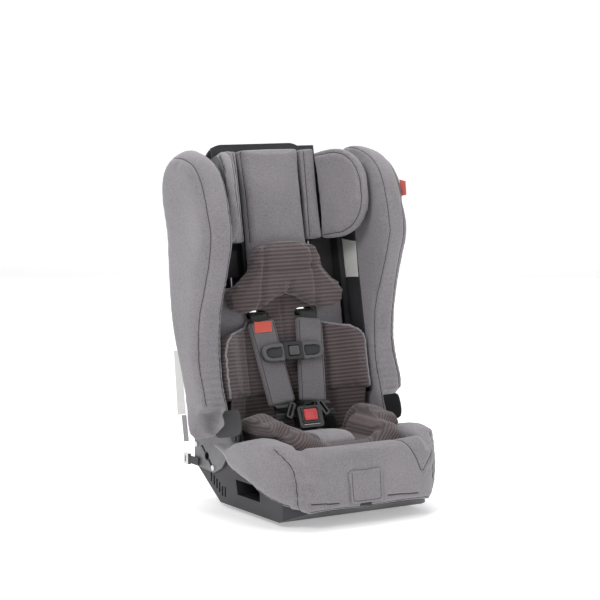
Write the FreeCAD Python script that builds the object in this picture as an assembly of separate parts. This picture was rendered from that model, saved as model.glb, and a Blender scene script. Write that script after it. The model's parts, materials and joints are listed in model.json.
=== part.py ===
import FreeCAD, Part

# Convertible child car seat: a base and a folding backrest, a sliding headrest and a five-point harness.
#
# Frame, in millimetres: +X to the right of someone who faces the front of the seat, +Y towards the back,
# +Z up. The origin is on the floor under the middle of the base.
# The backrest and the headrest are drawn upright about the fold hinge and then leant back by RECLINE.

import math
import os

V = FreeCAD.Vector
X_AXIS = V(1, 0, 0)
Y_AXIS = V(0, 1, 0)
ORIGIN = V(0, 0, 0)

# ---- driving dimensions ----
RECLINE = 11.0  # lean of the backrest behind vertical, degrees
HINGE_Y, HINGE_Z = -75.0, 140.0
GAP = 0.3  # between neighbours that do not touch
PLAY = 0.06  # radial clearance of a pin in its bore

BASE_HALF = 165.0
BASE_WALL = 4.0
BASE_FRONT, BASE_NOSE, BASE_TAIL = -236.0, -292.0, 86.0
BASE_TOP = 96.0
CORNER_X, CORNER_Y = 34.0, 44.0  # cut from the front corners, seen from above
TAIL_TOP = 116.0  # the base is higher behind the backrest
HEEL_HALF, HEEL_REAR = 70.0, 76.0
BELT_HOLE = [(-164.0, 27.0), (-79.0, 27.0), (-72.0, 56.0), (-150.0, 56.0), (-164.0, 44.0)]

PLATE = 4.0  # steel plates
PLATE_IN = BASE_HALF + 0.5
PLATE_OUT = PLATE_IN + PLATE
ARM_IN = PLATE_IN - PLATE - 1.0
PIN_R, BOSS_R = 6.0, 14.0
TUBE_R, TUBE_WALL = 9.0, 1.6
TUBES = [(-222.0, 74.0, BASE_HALF + 0.5), (34.0, 86.0, PLATE_OUT)]
BOLT_R = 3.0
BOLTS = [(69.0, 70.0), (8.0, 66.0), (75.0, 104.0)]

PAN = 4.0
PAN_TOP = BASE_TOP + PAN
PAD_TOP = PAN_TOP + 7.0
THIGH_IN, THIGH_OUT = 106.0, 150.0  # the infant seat's thigh supports
SEAT_FRONT = -262.0
CREST_Z = 150.0  # top of the padded front edge
HEM_Y, HEM_Z = -304.0, 20.0
BOLSTER_IN, BOLSTER_OUT = BASE_HALF - 30, BASE_HALF + 40
FLAP_X, FLAP_HALF, FLAP_LONG = -14.0, 36.0, 62.0
FLAP_Y, FLAP_TOP = -300.8, 98.0

SHELL_Y, SHELL_WALL = 92.0, 6.0
SHELL_HALF, SHELL_TOP = PLATE_OUT + 7.5, 590.0
SHELL_BODY = 540.0  # top of the shell's full width
WING_IN, WING_OUT = SHELL_HALF + 0.5, SHELL_HALF + 59
RAIL = 12.0  # width of the backrest's steel rails
RAIL_IN = ARM_IN - 3.5

ROD_R, ROD_X, ROD_Y = 5.0, 95.0, 80.0
HEAD_Z0, HEAD_Z1 = 301.0, 574.0
EAR_Z0, EAR_Z1 = 381.0, 565.0
HEAD_HALF, HEAD_Y = 72.0, 36.0
HEAD_BACK_Y = 62.0
EAR_LONG, EAR_T, EAR_SPLAY = 122.0, 22.0, 20.5
EAR_ROOT = (104.0, 44.0)
ROD_BOTTOM, ROD_TOP = 190.0, 470.0

HARNESS_TILT = 6.2  # the shoulder pads lean back a little more than the backrest
HARNESS_Y, HARNESS_Z = 22.0, 55.0
SHOULDER_LONG, SHOULDER_W, SHOULDER_T = 172.0, 60.0, 12.0
SHOULDER_X0, SHOULDER_X1 = 36.0, 57.0  # middle of a shoulder pad at its lower and upper end
WEB, WEB_T = 38.0, 1.6
SLOT_Z = 243.0
CLIP_Z = 105.0  # height of the chest clip above the lower end of the shoulder pads
CLIP_HALF = 72.0
CLIP_T = 11.0
TONGUE_ANGLE = 60.0  # each tongue leaves the buckle at this angle from its upright axis

BUCKLE_LEAN = 22.0
BUCKLE_Y, BUCKLE_Z = -95.0, 148.5  # lower front edge
BUCKLE_HALF, BUCKLE_TALL, BUCKLE_T = 28.0, 44.0, 21.0
CROTCH_Y, LAP_X, LAP_Y = -146.0, 84.0, -22.0

FOOT_HALF, FOOT_Y0, FOOT_Y1 = 56.0, -228.0, -140.0
FOOT_PIN_R, FOOT_PIN_Y, FOOT_PIN_Z = 4.0, -218.0, 13.0
ADJ_PIN_Y, ADJ_PIN_Z = -284.0, 70.0


# ---- helpers ----
def box(x0, x1, y0, y1, z0, z1):
    return Part.makeBox(x1 - x0, y1 - y0, z1 - z0, V(x0, y0, z0))


def block(half, y0, y1, z0, z1):
    """A box centred on the middle plane."""
    return box(-half, half, y0, y1, z0, z1)


def prism(points, x0, x1):
    """A side outline of (y, z) points, extruded from x0 to x1."""
    loop = [V(x0, y, z) for y, z in points]
    return Part.Face(Part.makePolygon(loop + loop[:1])).extrude(V(x1 - x0, 0, 0))


def front_prism(points, y0, y1):
    """A front outline of (x, z) points, extruded from y0 to y1."""
    loop = [V(x, y0, z) for x, z in points]
    return Part.Face(Part.makePolygon(loop + loop[:1])).extrude(V(0, y1 - y0, 0))


def rod(x0, x1, y, z, radius):
    """A cylinder along X."""
    return Part.makeCylinder(radius, x1 - x0, V(x0, y, z), X_AXIS)


def post(x, y, z0, z1, radius):
    """A cylinder along Z."""
    return Part.makeCylinder(radius, z1 - z0, V(x, y, z0))


def mirrored(shape):
    return shape.mirror(ORIGIN, X_AXIS)


def both(shape):
    return shape.fuse(mirrored(shape))


def tilted(shape, degrees, y, z):
    """Leans a shape back about the X axis and moves it by y and z."""
    placed = shape.copy()
    placed.rotate(ORIGIN, X_AXIS, -degrees)
    placed.translate(V(0, y, z))
    return placed


def on_back(shape):
    return tilted(shape, RECLINE, HINGE_Y, HINGE_Z)


def on_harness(shape):
    """From the shoulder pads' own frame to the upright backrest frame."""
    return tilted(shape, HARNESS_TILT, HARNESS_Y, HARNESS_Z)


def on_buckle(shape):
    return tilted(shape, BUCKLE_LEAN, BUCKLE_Y, BUCKLE_Z)


def lies_along(edge, axis):
    if len(edge.Vertexes) < 2:
        return False
    run = edge.Vertexes[1].Point.sub(edge.Vertexes[0].Point)
    return run.Length > 1e-6 and abs(run.normalize().dot(axis)) > 0.999


def round_edges(shape, radius, axis, wanted=lambda box: True):
    """Rounds the straight edges along axis whose bounding box is wanted."""
    edges = [e for e in shape.Edges if lies_along(e, axis) and wanted(e.BoundBox)]
    return shape.makeFillet(radius, edges)


def smooth_loft(sections):
    """A solid through closed smooth outlines, each given as (x, [(y, z), ...])."""
    wires = []
    for x, points in sections:
        curve = Part.BSplineCurve()
        curve.interpolate([V(x, y, z) for y, z in points], PeriodicFlag=True)
        wires.append(Part.Wire(curve.toShape()))
    return Part.makeLoft(wires, True, False)


def shrunk(points, amount):
    """Moves an outline towards its centre by about amount."""
    cy = sum(y for y, z in points) / len(points)
    cz = sum(z for y, z in points) / len(points)
    moved = []
    for y, z in points:
        long = math.hypot(y - cy, z - cz)
        moved.append((y - (y - cy) * amount / long, z - (z - cz) * amount / long))
    return moved


def ribbon(points, width, thickness):
    """A flat strap along (x, y, z) points, its width held along X as far as possible."""
    path = [V(*p) for p in points]
    rings = []
    for i, here in enumerate(path):
        run = path[min(i + 1, len(path) - 1)].sub(path[max(i - 1, 0)]).normalize()
        across = X_AXIS.sub(V(run).multiply(run.dot(X_AXIS))).normalize()
        out = run.cross(across)
        half_w = across.multiply(width / 2)
        half_t = out.multiply(thickness / 2)
        corners = [here + half_w + half_t, here - half_w + half_t]
        corners += [here - half_w - half_t, here + half_w - half_t]
        rings.append(Part.makePolygon(corners + corners[:1]))
    return Part.makeLoft(rings, True, True)


def export(name, shape):
    shape.exportStep(f"parts/{name}.step")


def export_pair(name, right):
    export(name + "_right", right)
    export(name + "_left", mirrored(right))


# ---- seat half: base, frame and pan ----
def base_outline(inset):
    top = BASE_TOP + (1 if inset else 0)
    return [
        (BASE_FRONT + inset * 0.4, inset),
        (-12 - inset * 0.3, inset),
        (31 - inset * 0.7, 28 + inset * 0.5),
        (78 - inset * 0.7, 59 + inset * 0.4),
        (83 - inset, 73),
        (BASE_TAIL - inset, top),
        (BASE_NOSE + inset, top),
        (BASE_NOSE + inset, 24 + inset * 0.6),
    ]


def beyond_corner(grow):
    """What lies outside the base's slanted right front corner, with the slant moved out by grow."""
    x = BASE_HALF + grow * math.hypot(CORNER_X, CORNER_Y) / CORNER_Y
    y = BASE_NOSE + CORNER_Y
    ends = [V(x + CORNER_X, y + CORNER_Y, -2), V(x - 2 * CORNER_X, y - 2 * CORNER_Y, -2)]
    corner = V(x + CORNER_X, y - 2 * CORNER_Y, -2)
    return Part.Face(Part.makePolygon(ends + [corner, ends[0]])).extrude(V(0, 0, 204))


def belt_prism(half, grow):
    cy = sum(y for y, z in BELT_HOLE) / len(BELT_HOLE)
    cz = sum(z for y, z in BELT_HOLE) / len(BELT_HOLE)
    points = [(y + grow * (1 if y > cy else -1), z + grow * (1 if z > cz else -1)) for y, z in BELT_HOLE]
    return prism(points, -half, half)


def base_shell():
    inner = BASE_HALF - BASE_WALL
    solid = prism(base_outline(0), -BASE_HALF, BASE_HALF).cut(both(beyond_corner(0)))
    hollow = prism(base_outline(BASE_WALL), -inner, inner).cut(both(beyond_corner(-BASE_WALL)))
    shell = solid.cut(hollow)
    hollow = block(HEEL_HALF - BASE_WALL, -12, HEEL_REAR - BASE_WALL, BASE_WALL, 63)
    heel = block(HEEL_HALF, -16, HEEL_REAR, 0, 62).cut(hollow)
    shell = shell.fuse(heel.cut(hollow))
    tail = block(BASE_HALF, 64, BASE_TAIL, BASE_TOP, TAIL_TOP)
    tail = tail.cut(block(inner, 60, BASE_TAIL - BASE_WALL, BASE_TOP - 1, TAIL_TOP + 1))
    shell = shell.fuse(tail)
    shell = shell.fuse(belt_prism(BASE_HALF, 3.0).cut(belt_prism(BASE_HALF + 1, 0)))
    shell = shell.cut(belt_prism(BASE_HALF + 1, 0))
    for i in range(6):
        y = -34 + i * 11
        z = 14 + max(0, i - 1) * 5.5
        shell = shell.cut(box(-BASE_HALF - 1, BASE_HALF + 1, y, y + 5.5, z, z + 20))
    shell = shell.cut(block(FOOT_HALF + 2, FOOT_Y0 - 2, FOOT_Y1 + 2, -1, BASE_WALL + 1))
    rib = box(FOOT_HALF + 2, FOOT_HALF + 6, FOOT_Y0 - 4, FOOT_Y1 + 2, 2, 24)
    shell = shell.fuse(both(rib))
    shell = shell.cut(rod(-FOOT_HALF - 7, FOOT_HALF + 7, FOOT_PIN_Y, FOOT_PIN_Z, FOOT_PIN_R + PLAY))
    for y, z, half in TUBES:
        shell = shell.cut(rod(-BASE_HALF - 1, BASE_HALF + 1, y, z, TUBE_R))
    for y, z in BOLTS:
        shell = shell.cut(rod(-BASE_HALF - 1, BASE_HALF + 1, y, z, BOLT_R))
    shell = shell.cut(box(FLAP_X - 20, FLAP_X + 20, BASE_NOSE - 1, BASE_NOSE + BASE_WALL + 1, 48, 76))
    return shell.removeSplitter()


def side_plate():
    outline = [(84, TAIL_TOP), (84, 75), (78, 61), (8, 56), (-24, 70), (-50, 100), (-84, 128)]
    outline += [(-84, 140), (-72, 152), (-20, 142), (30, 128)]
    plate = prism(outline, PLATE_IN, PLATE_OUT).fuse(rod(PLATE_IN, PLATE_OUT, HINGE_Y, HINGE_Z, BOSS_R))
    plate = plate.cut(prism([(58, 104), (51, 106), (12, 72), (17, 66)], PLATE_IN - 1, PLATE_OUT + 1))
    plate = plate.cut(rod(PLATE_IN - 1, PLATE_OUT + 1, HINGE_Y, HINGE_Z, PIN_R))
    y, z, half = TUBES[1]
    plate = plate.cut(rod(PLATE_IN - 1, PLATE_OUT + 1, y, z, TUBE_R))
    for y, z in BOLTS:
        plate = plate.cut(rod(PLATE_IN - 1, PLATE_OUT + 1, y, z, BOLT_R))
    return plate.removeSplitter()


def cross_tubes():
    bore = TUBE_R - TUBE_WALL
    tubes = [rod(-half, half, y, z, TUBE_R).cut(rod(-half - 1, half + 1, y, z, bore)) for y, z, half in TUBES]
    return Part.makeCompound(tubes)


def frame_bolts():
    solids = []
    for y, z in BOLTS:
        bolt = rod(BASE_HALF - BASE_WALL, PLATE_OUT, y, z, BOLT_R)
        bolt = bolt.fuse(rod(PLATE_OUT, PLATE_OUT + 2.4, y, z, 5.5)).removeSplitter()
        solids += [bolt, mirrored(bolt)]
    return Part.makeCompound(solids)


def fold_pins():
    head = rod(PLATE_OUT, PLATE_OUT + 2.4, HINGE_Y, HINGE_Z, 9)
    pin = rod(ARM_IN, PLATE_OUT, HINGE_Y, HINGE_Z, PIN_R).fuse(head)
    pin = pin.removeSplitter()
    return Part.makeCompound([pin, mirrored(pin)])


def web_slots(z0, z1):
    """Where the crotch strap and the lap straps pass through the seat."""
    slots = block(WEB / 2 + 2, CROTCH_Y - 4, CROTCH_Y + 8, z0, z1)
    return slots.fuse(both(box(LAP_X - WEB / 2 - 4, LAP_X + WEB / 2 + 2, LAP_Y - 5, LAP_Y + 5, z0, z1)))


def seat_pan():
    inner = BASE_HALF - BASE_WALL - 1
    pan = block(inner, BASE_NOSE, 60, BASE_TOP, PAN_TOP).cut(both(beyond_corner(0)))
    return pan.cut(web_slots(BASE_TOP - 1, PAN_TOP + 1))


def seat_pad():
    pad = block(BOLSTER_IN - GAP, SEAT_FRONT + GAP, -12, PAN_TOP, PAD_TOP)
    return pad.cut(web_slots(PAN_TOP - 1, PAD_TOP + 1))


def front_apron():
    outline = [
        (SEAT_FRONT, PAN_TOP),
        (SEAT_FRONT, CREST_Z - 8),
        (SEAT_FRONT - 8, CREST_Z),
        (SEAT_FRONT - 20, CREST_Z - 1),
        (SEAT_FRONT - 31, CREST_Z - 12),
        (SEAT_FRONT - 38, 108),
        (HEM_Y, HEM_Z + 6),
        (HEM_Y + 3, HEM_Z),
        (BASE_NOSE - GAP, HEM_Z + 4),
        (BASE_NOSE - GAP, PAN_TOP),
    ]
    apron = prism(outline, -BOLSTER_IN + GAP, BOLSTER_IN - GAP)
    return apron.cut(box(FLAP_X - 22, FLAP_X + 22, HEM_Y - 5, BASE_NOSE + 5, 46, 78))


def thigh_bolster():
    """Right-hand bolster, with the side cover that hangs over the base."""
    outline = [
        (-46, 122),
        (-46, 129),
        (-98, 129.5),
        (-124, 143),
        (-185, 152),
        (-240, 150),
        (-274, 143),
        (-296, 118),
        (-303, 70),
        (HEM_Y, HEM_Z),
        (-282, 29),
        (-225, 48),
        (-165, 71),
        (-112, 87),
        (-82, 112),
    ]
    solid = prism(outline, BOLSTER_IN, BOLSTER_OUT)
    far = BOLSTER_OUT + 1
    loop = [V(far, -150, 0), V(far, -320, 0), V(136, -320, 0), V(138, -307, 0), V(156, -291, 0)]
    loop += [V(176, -262, 0), V(191, -235, 0), V(201, -200, 0)]
    corner = Part.makePolygon(loop + loop[:1])
    solid = solid.cut(Part.Face(corner).extrude(V(0, 0, 200)))
    inside = block(BASE_HALF + GAP + 7, BASE_NOSE - GAP, 200, -1, PAN_TOP + GAP)
    solid = solid.cut(inside.cut(beyond_corner(GAP + 7)))
    solid = solid.cut(box(ARM_IN - 1.5, PLATE_OUT + 4, -128, 10, 60, 200))
    return solid.removeSplitter()


def thigh_support():
    """Half-dome beside a thigh, low enough for the backrest to fold over it."""
    dome = [(-30, PAD_TOP + 1), (-31, 142), (-45, 163), (-66, 177), (-95, 184), (-120, 181.5), (-140, 177)]
    dome += [(-160, 178), (-178, 170), (-190, 152), (-194, 130), (-194, PAD_TOP + 1)]
    return prism(dome, THIGH_IN, THIGH_OUT)


def infant_seat_cushion():
    slab = block(112, -228, -20, PAD_TOP, PAD_TOP + 20)
    front = rod(-104, 104, -226, PAD_TOP + 24, 26)
    side = Part.makeCylinder(29, 124, V(104, -222, PAD_TOP + 30), Y_AXIS)
    corner = Part.makeSphere(28, V(103, -224, PAD_TOP + 26))
    cushion = slab.fuse([front, both(side), both(corner), both(thigh_support())])
    cushion = cushion.common(block(THIGH_OUT, -300, 0, PAD_TOP, 240))
    for s in (-1, 1):
        low = box(BOLSTER_IN - GAP, 200, -300, 0, 0, 152 + GAP)
        cushion = cushion.cut(low if s > 0 else mirrored(low))
    return cushion.cut(web_slots(PAD_TOP - 1, PAD_TOP + 90)).removeSplitter()


# ---- buckle and crotch strap ----
def buckle_body():
    body = block(BUCKLE_HALF, 0, BUCKLE_T, 0, BUCKLE_TALL)
    body = round_edges(body, 7, Y_AXIS)
    body = body.cut(block(15.3, -1, 6.5, 13.7, 37.3))
    body = body.cut(both(on_tongue(block(9, 8, 12, -8.5, 40))))
    return body.cut(block(WEB / 2 + 1, 12, 18, -1, 12))


def buckle_button():
    return round_edges(block(15, -1.5, 1.9, 14, 37), 3, Y_AXIS)


def on_tongue(shape):
    """From the right-hand tongue's frame, z along its way out, to the buckle's frame."""
    placed = shape.copy()
    placed.rotate(ORIGIN, Y_AXIS, TONGUE_ANGLE)
    placed.translate(V(BUCKLE_HALF - 17, 0, BUCKLE_TALL - 20))
    return placed


def buckle_tongue():
    """Right-hand tongue: a blade in the buckle and a slotted head for the straps."""
    blade = block(8.7, 9, 11, -5.5, 26)
    head = round_edges(block(17, 6.5, 13.5, 24, 38), 4, Y_AXIS)
    head = head.cut(block(13, 5, 15, 29, 34))
    return on_tongue(blade.fuse(head).removeSplitter())


def crotch_strap():
    top = PAD_TOP + 28.7
    path = [(0, CROTCH_Y, BASE_TOP - 8), (0, CROTCH_Y, top - 5), (0, CROTCH_Y + 5, top)]
    path += [(0, -100, top + 0.3), (0, -87, top + 2.2)]
    path += [off_buckle((0, 15, 1)), off_buckle((0, 15, 9))]
    return ribbon(path, WEB, WEB_T)


def crotch_pad():
    low = PAD_TOP + 23.8
    spine = [(0, -196, low), (0, -128, low), (0, -66, low + 1), (0, -52, 148), (0, -45, 166)]
    pad = ribbon(spine, 78, 7).cut(both(box(28, 60, -64, -20, 100, 200)))
    return pad.cut(block(WEB / 2 + 2, CROTCH_Y - 4, CROTCH_Y + 8, 100, 160))


# ---- harness adjuster, recline foot, anchor straps ----

def adjuster_housing():
    body = box(FLAP_X - 19.7, FLAP_X + 19.7, BASE_NOSE - 4, BASE_NOSE + 24, 48.3, 75.7)
    body = body.cut(box(FLAP_X - 15, FLAP_X + 15, BASE_NOSE - 5, BASE_NOSE + 20, 51, 76))
    body = body.cut(rod(FLAP_X - 18, FLAP_X + 18, ADJ_PIN_Y, ADJ_PIN_Z, 2 + PLAY))
    return body


def adjuster_lever():
    """Release lever on its own cross pin."""
    lever = box(FLAP_X - 14.5, FLAP_X + 14.5, BASE_NOSE - 3, BASE_NOSE + 12, ADJ_PIN_Z - 3, ADJ_PIN_Z + 3)
    return lever.fuse(rod(FLAP_X - 17.5, FLAP_X + 17.5, ADJ_PIN_Y, ADJ_PIN_Z, 2)).removeSplitter()


def adjuster_strap():
    y = BASE_NOSE
    path = [(FLAP_X, y + 19.7, 60), (FLAP_X, y, 60), (FLAP_X, y - 11, 57)]
    path += [(FLAP_X, HEM_Y - 2, 44), (FLAP_X, HEM_Y - 2, 30)]
    return ribbon(path, 26, WEB_T)


def adjuster_flap():
    flap = box(FLAP_X - FLAP_HALF, FLAP_X + FLAP_HALF, -5, -0.2, -FLAP_LONG, 0)
    flap = round_edges(flap, 5, Y_AXIS, lambda b: b.ZMax < -50)
    return tilted(flap, 7.0, FLAP_Y, FLAP_TOP)


def recline_foot():
    plate = block(FOOT_HALF, FOOT_Y0 + 18, FOOT_Y1, 2.5, 8)
    plate = plate.cut(block(FOOT_HALF - 20, FOOT_Y0 + 34, FOOT_Y1 - 16, 2, 9))
    lug = box(FOOT_HALF - 6, FOOT_HALF, FOOT_Y0 + 2, FOOT_Y0 + 34, 6, 20)
    pin = rod(-FOOT_HALF - 5.5, FOOT_HALF + 5.5, FOOT_PIN_Y, FOOT_PIN_Z, FOOT_PIN_R)
    return plate.fuse(both(lug)).fuse(pin).removeSplitter()


def anchor_strap():
    """Short doubled webbing from the rear bolt, folded flat against the plate."""
    x = PLATE_OUT + 2.4 + GAP
    return box(x, x + 3, 60, 104, 62, 78)


def anchor_hook():
    x = PLATE_OUT + 2.4 + GAP
    hook = box(x - 2, x + 5, 98, 116, 59, 81)
    return hook.cut(box(x, x + 3, 90, 104, 62, 78)).cut(box(x - 3, x + 6, 106, 111, 64, 76))


# ---- backrest, drawn upright about the hinge ----
def back_shell():
    panel = block(SHELL_HALF, SHELL_Y, SHELL_Y + SHELL_WALL, -14, SHELL_BODY)
    crown = block(120, SHELL_Y, SHELL_Y + SHELL_WALL, SHELL_BODY - 1, SHELL_TOP)
    crown = round_edges(crown, 40, Y_AXIS, lambda b: b.ZMax > SHELL_TOP - 1)
    wall = box(RAIL_IN + RAIL + 2, SHELL_HALF, 20, SHELL_Y + 1, 64, SHELL_BODY)
    panel = panel.cut(both(box(BASE_HALF - 3, 200, SHELL_Y - 1, 200, -20, 34)))
    shell = panel.fuse(crown).fuse(both(wall))
    guide = box(ROD_X - 15, ROD_X + 15, ROD_Y - 7, SHELL_Y + 1, 318, 372)
    shell = shell.fuse(both(guide))
    bore = post(ROD_X, ROD_Y, 300, 380, ROD_R + PLAY)
    rear = SHELL_Y + SHELL_WALL + 1
    slot = box(SHOULDER_X1 - 23, SHOULDER_X1 + 23, SHELL_Y - 1, rear, SLOT_Z - 7, SLOT_Z + 7)
    shell = shell.cut(both(bore)).cut(both(slot))
    grip = block(34, SHELL_Y - 1, SHELL_Y + SHELL_WALL + 1, SHELL_TOP - 22, SHELL_TOP - 8)
    shell = shell.cut(round_edges(grip, 6, Y_AXIS))
    return shell.removeSplitter()


def back_rail():
    tube = box(RAIL_IN, RAIL_IN + RAIL, 64, 90, 40, SHELL_TOP - 70)
    return tube.cut(box(RAIL_IN + 1.5, RAIL_IN + RAIL - 1.5, 65.5, 88.5, 39, SHELL_TOP - 69))


def top_bar():
    """Flat steel bar behind the headrest's rods, from rail to rail."""
    return block(RAIL_IN, ROD_Y + ROD_R + 1.5, SHELL_Y, SHELL_TOP - 110, SHELL_TOP - 84)


def hinge_arm():
    """Steel arm from the fold pin up to the rail; it laps the rail's inner face."""
    outline = [(-10, 10), (-10, -10), (20, -10), (90, 44), (90, 110), (66, 110), (62, 60)]
    arm = prism(outline, ARM_IN, ARM_IN + PLATE).fuse(rod(ARM_IN, ARM_IN + PLATE, 0, 0, BOSS_R))
    arm = arm.cut(rod(ARM_IN - 1, ARM_IN + PLATE + 1, 0, 0, PIN_R + PLAY))
    foot = box(RAIL_IN - 3.5, RAIL_IN, 64, 90, 60, 110)
    arm = arm.cut(box(RAIL_IN - 5, RAIL_IN + RAIL + 1, 60, 95, 39.9, 111))
    bridge = box(RAIL_IN - 3.5, ARM_IN + PLATE, 58, 90, 33, 39.9)
    wide = prism([(50, 30), (70, 39.9), (58, 39.9)], RAIL_IN - 3.5, ARM_IN + PLATE)
    return arm.fuse([foot.fuse(box(RAIL_IN - 3.5, RAIL_IN, 64, 90, 33, 61)), bridge, wide]).removeSplitter()


def side_wing():
    """Right-hand padded wing, with the belt arch at its lower front."""
    inner = [(-16, 12), (-4, 84), (-2, 131), (-14, 203), (-24, 237), (-60, 302), (-83, 345)]
    inner += [(-99, 385), (-99, 430), (-87, 498), (-60, 538), (-18, 563), (35, 575), (76, 554), (88, 440)]
    inner += [(96, 215), (80, 129), (74, 60), (72, 0), (30, 8)]
    outer = [(-6, 60), (-8, 84), (-2, 131), (-8, 203), (-20, 237), (-50, 302), (-72, 345)]
    outer += [(-88, 385), (-88, 430), (-73, 500), (-45, 536), (-8, 555), (30, 561), (66, 540), (84, 432)]
    outer += [(92, 215), (74, 129), (70, 60), (68, 2), (36, 30)]
    sections = [(WING_IN, inner), (WING_IN + 24, inner), (WING_IN + 50, outer)]
    wing = smooth_loft(sections + [(WING_OUT, shrunk(outer, 9))])
    arch = prism([(-60, -20), (-60, 57), (6, 57), (26, 46), (37, 20), (37, -20)], WING_IN + 9, WING_OUT + 30)
    wing = wing.cut(arch)
    wing = wing.cut(prism([(-60, -40), (-60, 12), (0, 12), (72, -2), (120, -2), (120, -40)], 100, 260))
    return wing


def back_pad():
    pad = block(RAIL_IN - GAP - 4, 62, 72, 66, HEAD_Z0 - 1)
    step = block(RAIL_IN - GAP - 4, 72, SHELL_Y - GAP, 66, 74)
    low = block(RAIL_IN - GAP - 4, 84, SHELL_Y - GAP, 2, 74)
    pad = pad.fuse(step).fuse(low)
    slot = box(SHOULDER_X1 - 23, SHOULDER_X1 + 23, 60, 94, SLOT_Z - 7, SLOT_Z + 7)
    return pad.cut(both(slot)).removeSplitter()


def infant_back_cushion():
    """Body cushion: a tall flat middle and two side panels that come forward along the wings."""
    plan = [(0, 54), (90, 54), (118, 40), (150, 8), (165, 1), (169, 10), (169, 56), (150, 61.7), (0, 61.7)]
    loop = [V(x, y, 70) for x, y in plan]
    half = Part.Face(Part.makePolygon(loop + loop[:1])).extrude(V(0, 0, HEAD_Z0 - 5 - 70))
    edge = [(200, 150), (170, 160), (160, 188), (140, 206), (112, 214), (90, 226)]
    top = front_prism([(90, 300), (200, 300)] + edge, -20, 80)
    cushion = both(half.cut(top))
    slot = box(SHOULDER_X1 - 23, SHOULDER_X1 + 23, 40, 64, SLOT_Z - 7, SLOT_Z + 7)
    return cushion.cut(both(slot)).removeSplitter()


def shoulder_pad():
    half = SHOULDER_W / 2
    low, high = SHOULDER_X0, SHOULDER_X1
    outline = [(low - half, 0), (low + half, 0), (high + half, SHOULDER_LONG), (high - half, SHOULDER_LONG)]
    pad = front_prism(outline, 0, SHOULDER_T)
    z = SHOULDER_LONG + 1
    core = front_prism([(low - 21, -1), (low + 21, -1), (high + 21, z), (high - 21, z)], 4.2, 8.0)
    slope = (SHOULDER_X1 - SHOULDER_X0) / SHOULDER_LONG
    lug = SHOULDER_X0 + slope * CLIP_Z
    window = box(lug - 12, lug + 12, -1, 5, CLIP_Z - 46, CLIP_Z + 50)
    return on_back(on_harness(pad.cut(core).cut(window)))


def leant(point, degrees, y0, z0):
    """The point version of tilted()."""
    x, y, z = point
    a = math.radians(degrees)
    return (x, y0 + y * math.cos(a) + z * math.sin(a), z0 - y * math.sin(a) + z * math.cos(a))


def off_buckle(point):
    return leant(point, BUCKLE_LEAN, BUCKLE_Y, BUCKLE_Z)


def shoulder_strap():
    """From the splitter plate up behind the shell, through the slot, down inside the pad, to the tongue."""
    rear = SHELL_Y + SHELL_WALL
    x0, x1 = SHOULDER_X0, SHOULDER_X1
    path = [(22, rear + 4, 118), (x1 - 6, rear + 5, 224), (x1, rear + 3, SLOT_Z - 1)]
    path += [(x1, SHELL_Y - 4, SLOT_Z + 2), (x1, 60, SLOT_Z)]
    inside = [(x1 + 1, 6, SHOULDER_LONG + 5), (x1, 6, SHOULDER_LONG), (x0, 6, 0), (x0, 6, -8)]
    path += [leant(p, HARNESS_TILT, HARNESS_Y, HARNESS_Z) for p in inside]
    path = [leant(p, RECLINE, HINGE_Y, HINGE_Z) for p in path]
    path += [off_buckle((BUCKLE_HALF + 16, 24, 54)), off_buckle((BUCKLE_HALF + 17, 16.2, 47))]
    return ribbon(path, WEB, WEB_T)


def lap_strap():
    path = [(LAP_X, LAP_Y, BASE_TOP - 6), (LAP_X, LAP_Y, PAD_TOP + 22), (LAP_X - 10, LAP_Y - 3, 148)]
    path += [(BUCKLE_HALF + 32, -40, 160), off_buckle((BUCKLE_HALF + 24, 24, 24))]
    path += [off_buckle((BUCKLE_HALF + 21.5, 17, 30)), off_buckle((BUCKLE_HALF + 21, 15.2, 36))]
    return ribbon(path, WEB, WEB_T)


def splitter_plate():
    y = SHELL_Y + SHELL_WALL
    plate = round_edges(block(42, y + 0.8, y + 3, 96, 124), 6, Y_AXIS)
    return plate.cut(block(14, y, y + 4, 101, 106))


# ---- chest clip, drawn in the shoulder pads' frame ----
def clip_half(x0):
    """Front outline of the clip's right half, from x0 outwards, as (x, z) points."""
    edge = [(50, -19), (66, -15), (CLIP_HALF, -4), (CLIP_HALF, 6), (66, 13), (50, 17)]
    return [(x0, -17)] + edge + [(x0, 15)]


def clip_side(x0):
    half = front_prism(clip_half(x0), -CLIP_T, -GAP)
    well = front_prism([(26, -10), (48, -12), (62, -6), (62, 4), (48, 9), (26, 8)], -CLIP_T - 1, -CLIP_T + 5)
    lug_x = SHOULDER_X0 + (SHOULDER_X1 - SHOULDER_X0) * CLIP_Z / SHOULDER_LONG
    lug = box(lug_x - 10, lug_x + 10, -1, 4, -5, 5)
    return half.cut(well).fuse(lug)


def clip_receiver():
    """Right half with the middle housing that takes the other half's tongue."""
    housing = block(22, -CLIP_T - 2, -GAP, -19, 19)
    housing = round_edges(housing, 3, Y_AXIS)
    body = clip_side(21).fuse(housing)
    body = body.cut(box(-23, 16, -CLIP_T + 3, -CLIP_T + 7, -9.4, 9.4))
    body = body.cut(block(11.3, -CLIP_T - 3, -CLIP_T + 4, -9.3, 9.3))
    return body.removeSplitter()


def clip_tongue():
    body = mirrored(clip_side(22 + GAP))
    blade = box(-30, 15, -CLIP_T + 3.3, -CLIP_T + 6.7, -9, 9)
    return body.fuse(blade).removeSplitter()


def clip_button():
    return round_edges(block(11, -CLIP_T - 3.4, -CLIP_T + 0.6, -9, 9), 2, Y_AXIS)


def on_clip(shape):
    placed = shape.copy()
    placed.translate(V(0, 0, CLIP_Z))
    return on_back(on_harness(placed))


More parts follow.
